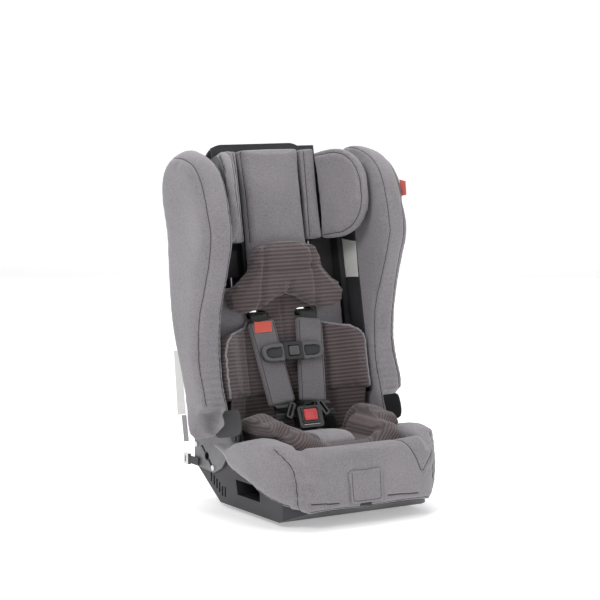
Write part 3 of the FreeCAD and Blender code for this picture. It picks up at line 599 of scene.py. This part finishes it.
GREY = (0.212, 0.198, 0.212)
BROWN = (0.098, 0.074, 0.076)
MATERIALS = {
    "cover": (heather("heather_grey", GREY), "grey_cover"),
    "cover_dark": (heather("heather_shade", shade(GREY, 0.62)), "grey_cover"),
    "insert": (ribbed_knit("ribbed_brown", BROWN, (RECLINE, 0, 0)), "brown_insert"),
    "insert_fine": (ribbed_knit("fine_brown", shade(BROWN, 0.95), ribbed=False), "brown_insert"),
    # seam_shade_cord: the near-black cord in seam grooves and slits is painted shade; its slot is the grey
    # cover
    "thread": (woven_strap("seam_shade_cord", (0.035, 0.032, 0.036)), "grey_cover"),
    "piping": (heather("grey_piping", shade(GREY, 1.05), 0.25), "grey_cover"),
    "web": (woven_strap("dark_webbing", (0.022, 0.026, 0.025)), "webbing"),
    "black": (moulded("black_moulding", (0.032, 0.030, 0.034), 0.46), "base_plastic"),
    "shell": (moulded("black_shell", (0.030, 0.029, 0.032), 0.5, 500.0), "shell_plastic"),
    "gloss": (moulded("buckle_black", (0.009, 0.009, 0.010), 0.3, 500.0, 0.04, 0.1), "buckle_plastic"),
    "clip": (moulded("clip_grey", (0.085, 0.085, 0.09), 0.4, 700.0, 0.1), "grey_button"),
    "clip_well": (moulded("clip_dark", (0.02, 0.02, 0.022), 0.5, 700.0, 0.1), "buckle_plastic"),
    "red": (moulded("button_red", (0.72, 0.03, 0.035), 0.32, 500.0, 0.05, 0.3), "red_button"),
    "tag": (heather("red_tag", (0.70, 0.10, 0.07), 0.2), "grey_cover"),
    "label": (heather("blank_label", (0.62, 0.62, 0.60), 0.12), "grey_cover"),
    "plate": (metal("grey_plate", (0.19, 0.185, 0.195), 0.45, 0.35), "grey_steel"),
    "steel": (metal("black_steel", (0.035, 0.035, 0.037), 0.42, 0.3), "black_steel"),
    "zinc": (metal("zinc", (0.62, 0.62, 0.60), 0.3), "zinc_bolts"),
    "bright": (metal("bright_rod", (0.72, 0.72, 0.74), 0.16), "bright_rods"),
    "plated": (metal("plated", (0.6, 0.6, 0.61), 0.28), "plated_steel"),
    "lever": (metal("lever_metal", (0.55, 0.55, 0.56), 0.3), "lever_steel"),
}


def dress(piece, finish, body):
    """Gives a piece its material, and the body it rides on."""
    material, slot = MATERIALS[finish]
    piece.data.materials.clear()
    piece.data.materials.append(material)
    if body:
        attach(piece, body)
    return piece


NODE_FINISH = {
    "black": ["base_shell", "recline_foot", "headrest_release", "adjuster_housing"],
    "shell": ["seat_pan", "back_shell", "headrest_shell"],
    "plate": ["side_plate_left", "side_plate_right"],
    # fold_pins take the black steel only as painted shade: the zinc pins sit in the shade under the belt
    # arch
    "steel": ["cross_tubes", "fold_pins", "back_top_bar"]
    + ["back_rail_left", "back_rail_right", "hinge_arm_left", "hinge_arm_right"],
    "zinc": ["frame_bolts"],
    "bright": ["headrest_rods"],
    "plated": ["splitter_plate", "anchor_hook_left", "anchor_hook_right"],
    "gloss": ["buckle_body", "buckle_tongue_left", "buckle_tongue_right"],
    "red": ["buckle_button"],
    "lever": ["adjuster_lever"],
    "clip": ["clip_button"],
}


def paint_nodes():
    for finish, names in NODE_FINISH.items():
        for name in names:
            node = frame["nodes"][name]
            node.data.materials.clear()
            node.data.materials.append(MATERIALS[finish][0])


# ---- side wings ----
FRONT_INNER = [(14, -9), (84, -6), (131, -1), (203, -10), (237, -20), (302, -62), (336, -82), (374, -100)]
FRONT_INNER += [(413, -101), (460, -95), (503, -84), (538, -60), (562, -20), (575, 30)]
FRONT_OUTER = [(62, -8), (112, -7), (171, -2), (230, -12), (291, -48), (339, -76), (387, -92), (417, -88)]
FRONT_OUTER += [(470, -80), (500, -72), (534, -48), (552, -10), (559, 25)]
REAR_EDGE = [(6, 68), (57, 70), (129, 74), (215, 92), (337, 92), (426, 84), (500, 74), (540, 62)]
WING_IN, WING_SEAM, WING_OUT = 178.0, 229.0, 236.0


def pucker(piece, line, pitch, depth, reach):
    """Small gathers across a sewn line."""
    points = get_points(piece)
    away, along = nearest_on(points, line)
    ripple = depth * np.cos(along * 2 * math.pi / pitch) * np.exp(-((away / reach) ** 2))
    set_points(piece, points + get_normals(piece) * ripple[:, None])


def straight_sides(corners, parts=6):
    """A loop with crisp corners: points along each straight side."""
    loop = np.array(corners, float)
    steps = np.linspace(0, 1, parts, endpoint=False)[:, None]
    return np.vstack([a + (b - a) * steps for a, b in zip(loop, np.roll(loop, -1, axis=0))])


def tag(name, corners, thick, place, finish, parent):
    """A small blank piece of cloth sewn into a seam."""
    piece = plate(name, straight_sides(corners), -thick / 2, thick / 2, thick * 0.45, place, count=96)
    dress(piece, finish, None)
    piece.parent = parent
    return piece


def build_wings():
    for word, side in SIDES:
        node = "side_wing_" + word
        wing = soft_from(node, "wing_" + word, voxel=5, smooth=7, inset=1.0, cap=4.5, fine=1)
        at = lambda x, line: mirror([(x, y, z) for z, y in line], side)
        outer, inner = at(WING_SEAM, FRONT_OUTER), at(WING_IN + 2, FRONT_INNER)
        low = on_back(smooth_line(at(WING_IN + 26, [(70, -8), (131, -3), (203, -10), (300, -60)]), 60))
        pucker(wing, low, 13.0, 0.9, 26)
        seam(wing, outer, f"wing_{word}_outer_seam", on_back, depth=2.4, width=5)
        seam(wing, inner, f"wing_{word}_inner_seam", on_back, depth=2.0, width=4)
        seam(wing, at(WING_OUT - 3, REAR_EDGE), f"wing_{word}_rear_seam", on_back, depth=1.8, width=4)
        dress(wing, "cover", "back")
        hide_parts(node)
        if side > 0:
            edge = [(-88, 452), (-70, 452), (-70, 486), (-90, 480)]
            place = lambda p: on_back(np.stack([236 + p[..., 1], p[..., 0], p[..., 2]], -1))
            tag("red_tag_wing", edge, 1.4, place, "tag", wing)
        else:
            place = lambda p: on_back(np.stack([-WING_OUT + 3 + p[..., 1], p[..., 0], p[..., 2]], -1))
            tag("blank_label_rear", [(72, 56), (104, 56), (94, 182), (66, 182)], 0.8, place, "label", wing)
            tag("grey_tag_rear", [(70, 2), (88, 2), (88, 54), (70, 54)], 1.2, place, "cover", wing)
    place = lambda p: on_back(np.stack([171 + p[..., 1], p[..., 0], p[..., 2]], -1))
    corners = straight_sides([(20, 300), (70, 304), (68, 384), (16, 372)])
    label = plate("blank_label_inside", corners, -0.6, 0.2, 0.3, place, count=96)
    dress(label, "label", "back")


# ---- headrest ----
EAR_ROOT, EAR_LONG, EAR_T, EAR_SPLAY = (104.0, 44.0), 122.0, 22.0, 20.5
EAR_LOW, EAR_HIGH = 381.0, 565.0


def on_ear(points, side):
    """From an ear's own frame: thickness outwards, length forwards, height."""
    p = np.array(points, float)
    a = math.radians(EAR_SPLAY)
    x = EAR_ROOT[0] + p[..., 0] * math.cos(a) + p[..., 1] * math.sin(a)
    y = EAR_ROOT[1] + p[..., 0] * math.sin(a) - p[..., 1] * math.cos(a)
    return on_back(mirror(np.stack([x, y, p[..., 2]], -1), side))


def ear_loop(inset):
    """The ear's outline, from its lower root forwards and up to its upper root."""
    low, high, far = EAR_LOW + inset, EAR_HIGH - inset, EAR_LONG - inset
    r = (EAR_HIGH - EAR_LOW) * 0.42 - inset
    lower_turn, upper_turn = np.radians(np.linspace(-90, 0, 7)), np.radians(np.linspace(0, 90, 7))
    lower = [(far - r + r * math.cos(a), low + r + r * math.sin(a)) for a in lower_turn]
    upper = [(far - r + r * math.cos(a), high - r + r * math.sin(a)) for a in upper_turn]
    return [(6, low)] + lower + upper + [(6, high)]


def build_ears():
    for word, side in SIDES:
        node = "ear_pad_" + word
        ear = soft_from(node, "ear_" + word, voxel=4, smooth=6, inset=1.0, cap=4, fine=1)
        place = lambda p: on_ear(p, side)
        for t, face in ((0.0, "inner"), (EAR_T, "outer")):
            path = [(t, u, z) for u, z in ear_loop(9)]
            seam(ear, path, f"ear_{word}_{face}_seam", place, depth=1.8, width=3.5, count=110)
        dress(ear, "cover", "headrest")
        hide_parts(node)


def build_headrest():
    pad = soft_from("headrest_pad", "headrest_pad_soft", voxel=4, smooth=6, inset=1.0, cap=4, fine=1)
    for word, x in (("left", -71), ("right", 71)):
        seam(pad, [(x, 40, 384), (x, 38, 470), (x, 40, 570)], "headrest_seam_" + word, on_back, depth=2)
    dress(pad, "cover", "headrest")
    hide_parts("headrest_pad")
    for word, side in SIDES:
        node = "headrest_gusset_" + word
        fold = soft_from(node, "gusset_" + word, voxel=3, smooth=4, inset=0.6, cap=3, fine=1)
        line = mirror([(80, 46, 390), (82, 44, 480), (84, 44, 566)], side)
        seam(fold, line, f"gusset_seam_{word}", on_back, depth=2, width=4)
        dress(fold, "cover", "headrest")
        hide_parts(node)


def build_head_cushion():
    cushion = soft_from("head_cushion", "head_cushion_soft", voxel=4, smooth=6, inset=2.0, cap=8, fine=1)
    for word, side in SIDES:
        path = [(50, 0, 386), (55, 2, 360), (58, 8, 326), (62, 14, 296), (66, 20, 242)]
        seam(cushion, mirror(path, side), "head_lobe_seam_" + word, on_back, 5, 7, finish="insert")
    fold = [(-56, 6, 326), (-20, 8, 321), (20, 8, 321), (56, 6, 326)]
    seam(cushion, fold, "head_fold", on_back, depth=4, width=6, finish="insert")
    pleat = on_back(smooth_line([(4, 10, 296), (0, 16, 280), (-4, 20, 264)], 20))
    groove(cushion, pleat, depth=6, width=6)
    pleat = on_back(smooth_line([(-14, 10, 292), (-16, 16, 276), (-22, 20, 258)], 20))
    groove(cushion, pleat, depth=-3, width=5)
    subdivide(cushion)
    ribs(cushion)
    dress(cushion, "insert", "headrest")
    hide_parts("head_cushion")


# ---- inserts and pads of the back and the seat ----
def build_back():
    pad = soft_from("back_pad", "back_pad_soft", voxel=4, smooth=5, inset=0.6, cap=2, fine=0)
    dress(pad, "cover", "back")
    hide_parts("back_pad")
    insert = soft_from("infant_back_cushion", "body_insert", voxel=4, smooth=6, inset=1.5, cap=5, fine=1)
    for word, side in SIDES:
        crease = [(90, 52, 292), (90, 52, 200), (90, 52, 76)]
        seam(insert, mirror(crease, side), "insert_crease_" + word, on_back, 4, 7, finish="insert")
        edge = [(92, 50, 227), (112, 42, 215), (140, 16, 207), (160, 4, 189), (168, 3, 160)]
        edge = mirror(edge + [(169, 3, 110), (168, 3, 74)], side)
        seam(insert, edge, "insert_piping_" + word, on_back, 1, 3, radius=2.2, finish="piping")
    middle = [(0, 54, 294), (0, 54, 200), (0, 54, 80)]
    seam(insert, middle, "insert_middle_seam", on_back, depth=3, width=5, finish="insert")
    subdivide(insert)
    ribs(insert)
    dress(insert, "insert", "back")
    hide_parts("infant_back_cushion")


def press_front_roll(insert):
    """Lowers the middle of the front roll, where the crotch pad presses on it."""
    points = get_points(insert)
    middle = (1 - smooth_step(np.abs(points[:, 0]), 40, 95)) * smooth_step(-points[:, 1], 185, 205)
    points[:, 2] -= 0.6 * middle * np.clip(points[:, 2] - 124, 0, None)
    set_points(insert, points)


def build_seat():
    pad = soft_from("seat_pad", "seat_pad_soft", voxel=4, smooth=5, inset=0.6, cap=2, fine=0)
    dress(pad, "cover", "seat")
    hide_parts("seat_pad")
    insert = soft_from("infant_seat_cushion", "seat_insert", voxel=4, smooth=7, inset=1.5, cap=6, fine=1)
    press_front_roll(insert)
    front = [(-104, -249, 127), (0, -249, 127), (104, -249, 127)]
    seam(insert, front, "seat_insert_front_seam", on_seat, depth=2, width=4, finish="insert_fine")
    for word, side in SIDES:
        path = [(88, -206, 140), (90, -150, 128), (92, -60, 128)]
        groove(insert, mirror(smooth_line(path, 50), side), depth=6, width=9)
        edge = mirror([(127, -236, 128), (128, -180, 128), (128, -140, 130)], side)
        seam(insert, edge, "seat_roll_seam_" + word, on_seat, depth=2, width=4, finish="insert_fine")
    dress(insert, "insert_fine", "seat")
    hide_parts("infant_seat_cushion")


def build_skirt():
    """Ribbed fabric that closes the room between the back's insert and the seat's."""
    half = [(90, 56), (112, 46), (134, 32), (150, 22), (158, 14)]
    plan = smooth_line([(-x, y) for x, y in reversed(half)] + [(0, 57)] + half, 120)
    top = on_back([(x, y, 76) for x, y in plan])
    rows = []
    for t in np.linspace(0, 1, 40):
        drop = top.copy()
        drop[:, 2] = top[:, 2] + (120 - top[:, 2]) * t
        drop[:, 1] += 3 * math.sin(t * math.pi) + 2 * t
        rows.append(drop)
    front = np.array(rows)
    rear = front + np.array([0, 3.0, 0])
    rings = np.concatenate([front, rear[:, ::-1]], axis=1)
    skirt = ring_mesh("insert_skirt", rings)
    dress(skirt, "insert", None)
    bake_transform(skirt)


def pad_along(name, path, half_width, thick, place=on_seat, count=70, round_end=14.0, power=0.55):
    """A thin stuffed pad with crowned faces and rounded ends along a line."""
    line = place(smooth_line(path, count))
    across, out = frames_along(line, (1, 0, 0))
    run = np.concatenate([[0], np.cumsum(np.linalg.norm(np.diff(line, axis=0), axis=1))])
    turn = np.linspace(0, 2 * math.pi, 64, endpoint=False)
    u = np.sign(np.cos(turn)) * np.abs(np.cos(turn)) ** 0.35
    v = np.sign(np.sin(turn)) * np.abs(np.sin(turn)) ** power
    rings = []
    for p, a, o, s in zip(line, across, out, run):
        edge = min(s, run[-1] - s, round_end) / round_end
        full = math.sqrt(max(0.0, 1 - (1 - edge) ** 2))
        wide = half_width - round_end * 0.6 * (1 - full)
        deep = thick / 2 * max(full, 0.12) ** 0.7
        rings.append(p + np.outer(u * wide, a) + np.outer(v * deep, o))
    return ring_mesh(name, rings)


# ---- harness ----
SHOULDER_LOW, SHOULDER_HIGH = 36.0, 57.0  # half the room between the two shoulder straps
CLIP_UP = 105.0  # the chest clip's height along the shoulder pads


def build_crotch():
    sleeve = [(0, -190, 126), (0, -184, 135), (0, -166, 141), (0, -138, 141), (0, -112, 137.5)]
    sleeve += [(0, -88, 133), (0, -66, 132)]
    pad = pad_along("crotch_pad_soft", sleeve, 38, 16, count=90, round_end=10)
    across = [(-36, -190, 134), (-36, -168, 146), (-36, -138, 146), (-36, -108, 142), (-36, -74, 138)]
    loop = across + [(0, -66, 136)] + [(-x, y, z) for x, y, z in reversed(across)]
    seam(pad, loop, "crotch_pad_piping", on_seat, 0.5, 3, count=140, radius=1.1, finish="piping")
    for x, depth in ((-22, 2.4), (-9, 1.8), (4, 2.8), (15, 1.6), (24, 2.2)):
        gather = [(x * 1.2, -196, 130), (x * 1.0, -188, 144), (x * 0.8, -164, 149), (x * 0.6, -140, 149)]
        groove(pad, smooth_line(gather, 24), depth=depth, width=4)
    dress(pad, "cover", "seat")
    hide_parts("crotch_pad")
    path = [(0, -146, 88), (0, -146, 130.7), (0, -141, 135.7), (0, -100, 136), (0, -87, 137.9)]
    path += [tuple(on_buckle((0, 15, 1))), tuple(on_buckle((0, 15, 9)))]
    strap = webbing("crotch_strap_web", path)
    dress(strap, "web", "seat")
    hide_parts("crotch_strap")


def build_shoulders():
    buckle_top = on_buckle((45, 16.2, 47))
    for word, side in SIDES:
        low, high = SHOULDER_LOW, SHOULDER_HIGH
        path = mirror([(low, 6, 1), (low + 7, 6, 57), (low + 14, 6, 114), (high, 6, 171)], side)
        pad = pad_along(f"shoulder_pad_{word}_soft", path, 30, 12, on_harness, round_end=7, power=0.45)
        for face, edge in (("in", -26), ("out", 26)):
            line = mirror([(low + edge, 0, 5), (low + 10 + edge, 0, 86), (high + edge, 0, 168)], side)
            seam(pad, line, f"shoulder_pad_{word}_seam_{face}", on_harness, depth=0.8, width=3)
        dress(pad, "cover_dark", "back")
        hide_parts("shoulder_pad_" + word)
        if side < 0:
            place = lambda p: on_harness(np.stack([p[..., 0], p[..., 1] - 0.6, p[..., 2]], -1))
            corners = [(-high - 20, 148), (-high + 20, 148), (-high + 22, 170), (-high - 18, 170)]
            tag("red_tag_shoulder", corners, 1.2, place, "tag", pad)
        hidden = [(22, 102, 118), (high - 6, 103, 224), (high, 101, 242), (high, 88, 245), (high, 60, 243)]
        inside = [(high + 1, 6, 177), (high, 6, 172), (low, 6, 0), (low, 6, -8)]
        line = list(on_back(hidden)) + list(on_harness(inside)) + [on_buckle((44, 24, 54)), buckle_top]
        strap = webbing(f"shoulder_strap_{word}_web", mirror(line, side), count=160)
        dress(strap, "web", None)
        start, end = mirror(on_harness((low, 6, -4)), side) * MM, mirror(buckle_top, side) * MM
        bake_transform(strap)
        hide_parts("shoulder_strap_" + word)


def build_lap():
    for word, side in SIDES:
        path = [(84, -22, 90), (84, -22, 129), (74, -25, 148), (60, -40, 160)]
        path += [tuple(on_buckle(p)) for p in ((52, 24, 24), (49.5, 17, 30), (49, 15.2, 36))]
        strap = webbing(f"lap_strap_{word}_web", mirror(path, side), count=90)
        dress(strap, "web", None)
        start, end = mirror((84, -22, 129), side) * MM, mirror(on_buckle((49.5, 17, 30)), side) * MM
        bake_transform(strap)
        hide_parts("lap_strap_" + word)


def on_clip(points):
    p = np.array(points, float)
    return on_harness(np.stack([p[..., 0], p[..., 1], p[..., 2] + CLIP_UP], -1))


def dished(name, outer, well, front, back, floor, place, edge=2.2, count=120):
    """A plate with a rounded rim and a hollow in its face."""
    a, b = smooth_line(outer, count, closed=True), smooth_line(well, count, closed=True)
    rings = []

    def ring(line, y, pull=0.0, towards=None):
        flat = line if towards is None else line + (towards - line) * pull
        rings.append(np.stack([flat[:, 0], np.full(count, y), flat[:, 1]], -1))

    width = np.linalg.norm(a - b, axis=1).mean()
    ring(b, back)
    for t in np.linspace(0, 1, 5):
        s = math.sin(t * math.pi / 2)
        ring(a, back - edge * 0.6 * s, edge * 0.6 * (1 - s) / width, b)
    for t in np.linspace(0, 1, 6):
        s = math.sin(t * math.pi / 2)
        ring(a, front + edge * (1 - s), edge * (1 - math.cos(t * math.pi / 2)) / width, b)
    for t in np.linspace(0, 1, 5):
        s = math.sin(t * math.pi / 2)
        ring(b, front + 1.4 * (1 - math.cos(t * math.pi / 2)), 1.4 * (1 - s) / width, a)
    ring(b, floor - 0.8)
    middle = b.mean(0)
    ring(b, floor, 0.12, middle)
    ring(b, floor, 0.9, middle)
    return ring_mesh(name, place(np.array(rings)))


def build_clip():
    halves = [("right", 1, 21, "chest_clip", "clip_receiver")]
    halves += [("left", -1, 22.4, "chest_clip_tongue", "clip_tongue")]
    well = [(27, -10), (38, -11.4), (48, -12), (59, -9), (63, -3)]
    well += [(63, 3), (59, 7), (48, 9), (38, 8.6), (27, 8)]
    inlay_line = [(28.5, -9), (38, -10.2), (48, -10.8), (58, -7.8), (61.5, -2.6)]
    inlay_line += [(61.5, 2.6), (58, 5.8), (48, 7.8), (38, 7.4), (28.5, 6.8)]
    for word, side, x0, body, node in halves:
        outer = [(x0, -17), (36, -18.4), (50, -19), (66, -15), (72, -4), (72, 6), (66, 13), (50, 17)]
        outer += [(36, 16.6), (x0, 15)]
        place = lambda p: on_clip(mirror(p, side))
        half = dished(f"clip_half_{word}", outer, well, -11, -0.3, -6.4, place)
        dress(half, "clip", body)
        inlay = plate(f"clip_inlay_{word}", inlay_line, -8.2, -5.8, 0.9, place, crown=0.6)
        dress(inlay, "clip_well", None)
        inlay.parent = half
        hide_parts(node)
    frame_outer = [(-21, -17), (0, -18.6), (21, -17), (22, 0), (21, 17), (0, 18.6), (-21, 17), (-22, 0)]
    frame_well = [(-12.4, -10), (0, -10.4), (12.4, -10), (12.6, 0)]
    frame_well += [(12.4, 10), (0, 10.4), (-12.4, 10), (-12.6, 0)]
    housing = dished("clip_housing", frame_outer, frame_well, -13, -0.3, -9.6, on_clip)
    dress(housing, "clip_well", "chest_clip")
    for i in range(5):
        z = -6.4 + i * 3.2
        line = [(x, -14.4, z) for x in np.linspace(-8.5, 8.5, 12)]
        bar = cord_mesh(f"clip_button_rib_{i}", on_clip(line), 0.6)
        dress(bar, "clip", "chest_clip_button")


def build_buckle():
    outer = [(-19, 9), (0, 8.6), (19, 9), (20, 25), (19, 41), (0, 41.4), (-19, 41), (-20, 25)]
    well = [(-15.6, 13.4), (0, 13.2), (15.6, 13.4), (15.8, 25)]
    well += [(15.6, 37.6), (0, 37.8), (-15.6, 37.6), (-15.8, 25)]
    rim = dished("buckle_rim", outer, well, -1.6, 1.5, 0.6, on_buckle, edge=1.2)
    dress(rim, "gloss", "seat")
    bar = cord_mesh("buckle_line", on_buckle([(x, -0.4, 5.6) for x in np.linspace(-19, 19, 16)]), 1.1)
    dress(bar, "plated", "seat")
    edge = [(-13.6, 15.4), (0, 15.2), (13.6, 15.4), (13.8, 25.5)]
    edge += [(13.6, 35.6), (0, 35.8), (-13.6, 35.6), (-13.8, 25.5)]
    face = plate("buckle_button_face", edge, -2.4, 0.5, 1.4, on_buckle, crown=-0.5)
    dress(face, "red", "release_button")


# ---- front cover, side covers, anchors ----
FLAP_X, FLAP_HALF, FLAP_LONG, FLAP_Y, FLAP_TOP = -14.0, 36.0, 62.0, -300.8, 98.0
FLAP_LEAN = 7.0  # degrees


def joined(nodes, name):
    """One mesh from several CAD solids."""
    first = copy_of(nodes[0], name)
    points, faces = [get_points(first)], [tuple(p.vertices) for p in first.data.polygons]
    for node in nodes[1:]:
        data = frame["nodes"][node].data
        start = sum(len(p) for p in points)
        points.append(np.array([v.co for v in data.vertices], float) / MM)
        faces += [tuple(v + start for v in p.vertices) for p in data.polygons]
    bpy.data.objects.remove(first)
    return new_mesh(name, np.vstack(points), faces)


def round_corners(cover):
    """Lets the cover fall away at its two front corners."""
    points = get_points(cover)
    across = smooth_step(np.abs(points[:, 0]), 120, 190)
    ahead = smooth_step(-points[:, 1], 232, 292)
    raised = np.clip((points[:, 2] - 20) / 130, 0, 1)
    points[:, 2] -= 24 * across * ahead * raised
    set_points(cover, points)


def build_covers():
    nodes = ["front_apron", "thigh_bolster_right", "thigh_bolster_left"]
    cover = soften(joined(nodes, "seat_cover"), voxel=4.5, smooth=8, inset=0.6, cap=4.5, fine=1)
    round_corners(cover)
    for i, (x0, x1) in enumerate(((-136, -74), (38, 108))):
        slit = [(x0, -308, 44), (x1, -308, 40)]
        seam(cover, slit, f"cover_slit_{i}", on_seat, depth=2.4, width=3.5, radius=1.1)
    hem = [(-136, -308, 26), (0, -308, 26), (136, -308, 26)]
    seam(cover, hem, "cover_hem_seam", on_seat, depth=0.8, width=2.5)
    corner = [(-184, -246, 150), (-178, -268, 132), (-166, -284, 108), (-160, -290, 70), (-160, -290, 26)]
    for word, side in SIDES:
        line = mirror(corner, -side)
        seam(cover, line, f"cover_corner_seam_{word}", on_seat, depth=2.6, width=5)
        pucker(cover, smooth_line(line, 40), 19, 0.8, 16)
        hem = [(206, -112, 92), (206, -165, 76), (202, -200, 62), (190, -240, 46), (170, -275, 34)]
        seam(cover, mirror(hem, side), f"cover_side_hem_{word}", on_seat, depth=0.8, width=2.5)
    edge = [(72, -272, 152), (88, -292, 138), (104, -304, 112), (118, -308, 84)]
    edge += [(136, -304, 100), (152, -294, 118)]
    seam(cover, edge, "cover_front_seam", on_seat, depth=2.2, width=4.5)
    dress(cover, "cover", "seat")
    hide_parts(*nodes)


def build_flap():
    """The flap over the harness adjuster, and the tail of the strap below it."""
    shift = np.array([FLAP_X, 0, 0])
    on_flap = lambda p: lean(np.array(p, float) + shift, FLAP_LEAN, FLAP_Y, FLAP_TOP)
    h, w = FLAP_LONG, FLAP_HALF
    outline = [(-w, -1), (-w, -h * 0.5), (-w, -h + 7), (-w + 7, -h), (0, -h)]
    outline += [(w - 7, -h), (w, -h + 7), (w, -h * 0.5), (w, -1), (0, -0.5)]
    flap = plate("strap_flap_cloth", outline, -4.6, -0.4, 1.8, on_flap, crown=0.8, count=160)
    stitch = [(-w + 4, -5, -3), (-w + 4, -5, -h * 0.5), (-w + 5, -5, -h + 9), (-w + 9, -5, -h + 5)]
    stitch += [(0, -5, -h + 4)]
    stitch += [(-x, y, z) for x, y, z in reversed(stitch[:-1])]
    seam(flap, stitch, "strap_flap_stitch", on_flap, depth=0.5, width=2, radius=0.5, count=120)
    dress(flap, "cover", "strap_flap")
    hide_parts("adjuster_flap")
    tail = [(-272.3, 60), (-292, 60), (-303, 57), (-306, 44), (-306, 30)]
    path = [(FLAP_X, y, z) for y, z in tail]
    strap = webbing("adjuster_strap_web", path, width=26, count=50)
    dress(strap, "web", "seat")
    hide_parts("adjuster_strap")


def build_arch_shade_plates():
    """Dark plates of the shell's black plastic across the hollow belt arches of the wings: painted shade
    inside the arches.
    """
    loop = [(-58, 8), (-58, 50), (-30, 54), (0, 53), (14, 49), (27, 40), (36, 22), (38, 4), (0, 2)]
    for word, side in SIDES:
        place = lambda p: on_back(mirror(np.stack([186.6 + p[..., 1], p[..., 0], p[..., 2]], -1), side))
        shade_plate = plate("arch_shade_plate_" + word, loop, -1.6, 1.0, 0.8, place, count=90)
        dress(shade_plate, "shell", "back")


def build_anchors():
    for word, _ in SIDES:
        low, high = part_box("anchor_strap_" + word)
        x = (low[0] + high[0]) / 2 / MM
        y0, y1, z = low[1] / MM, high[1] / MM, (low[2] + high[2]) / 2 / MM
        path = [(x, y0, z), (x, (y0 + y1) / 2, z), (x, y1, z)]
        strap = webbing("anchor_web_" + word, path, width=16, flat_way=(0, 0, 1), count=30, thick=2.8)
        dress(strap, "web", "anchor_" + word)
        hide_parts("anchor_strap_" + word)


make_camera()
make_floor()
make_light()
paint_nodes()
build_wings()
build_ears()
build_headrest()
build_head_cushion()
build_back()
build_seat()
build_crotch()
build_shoulders()
build_lap()
build_clip()
build_buckle()
build_covers()
build_flap()
build_anchors()
build_arch_shade_plates()
build_skirt()
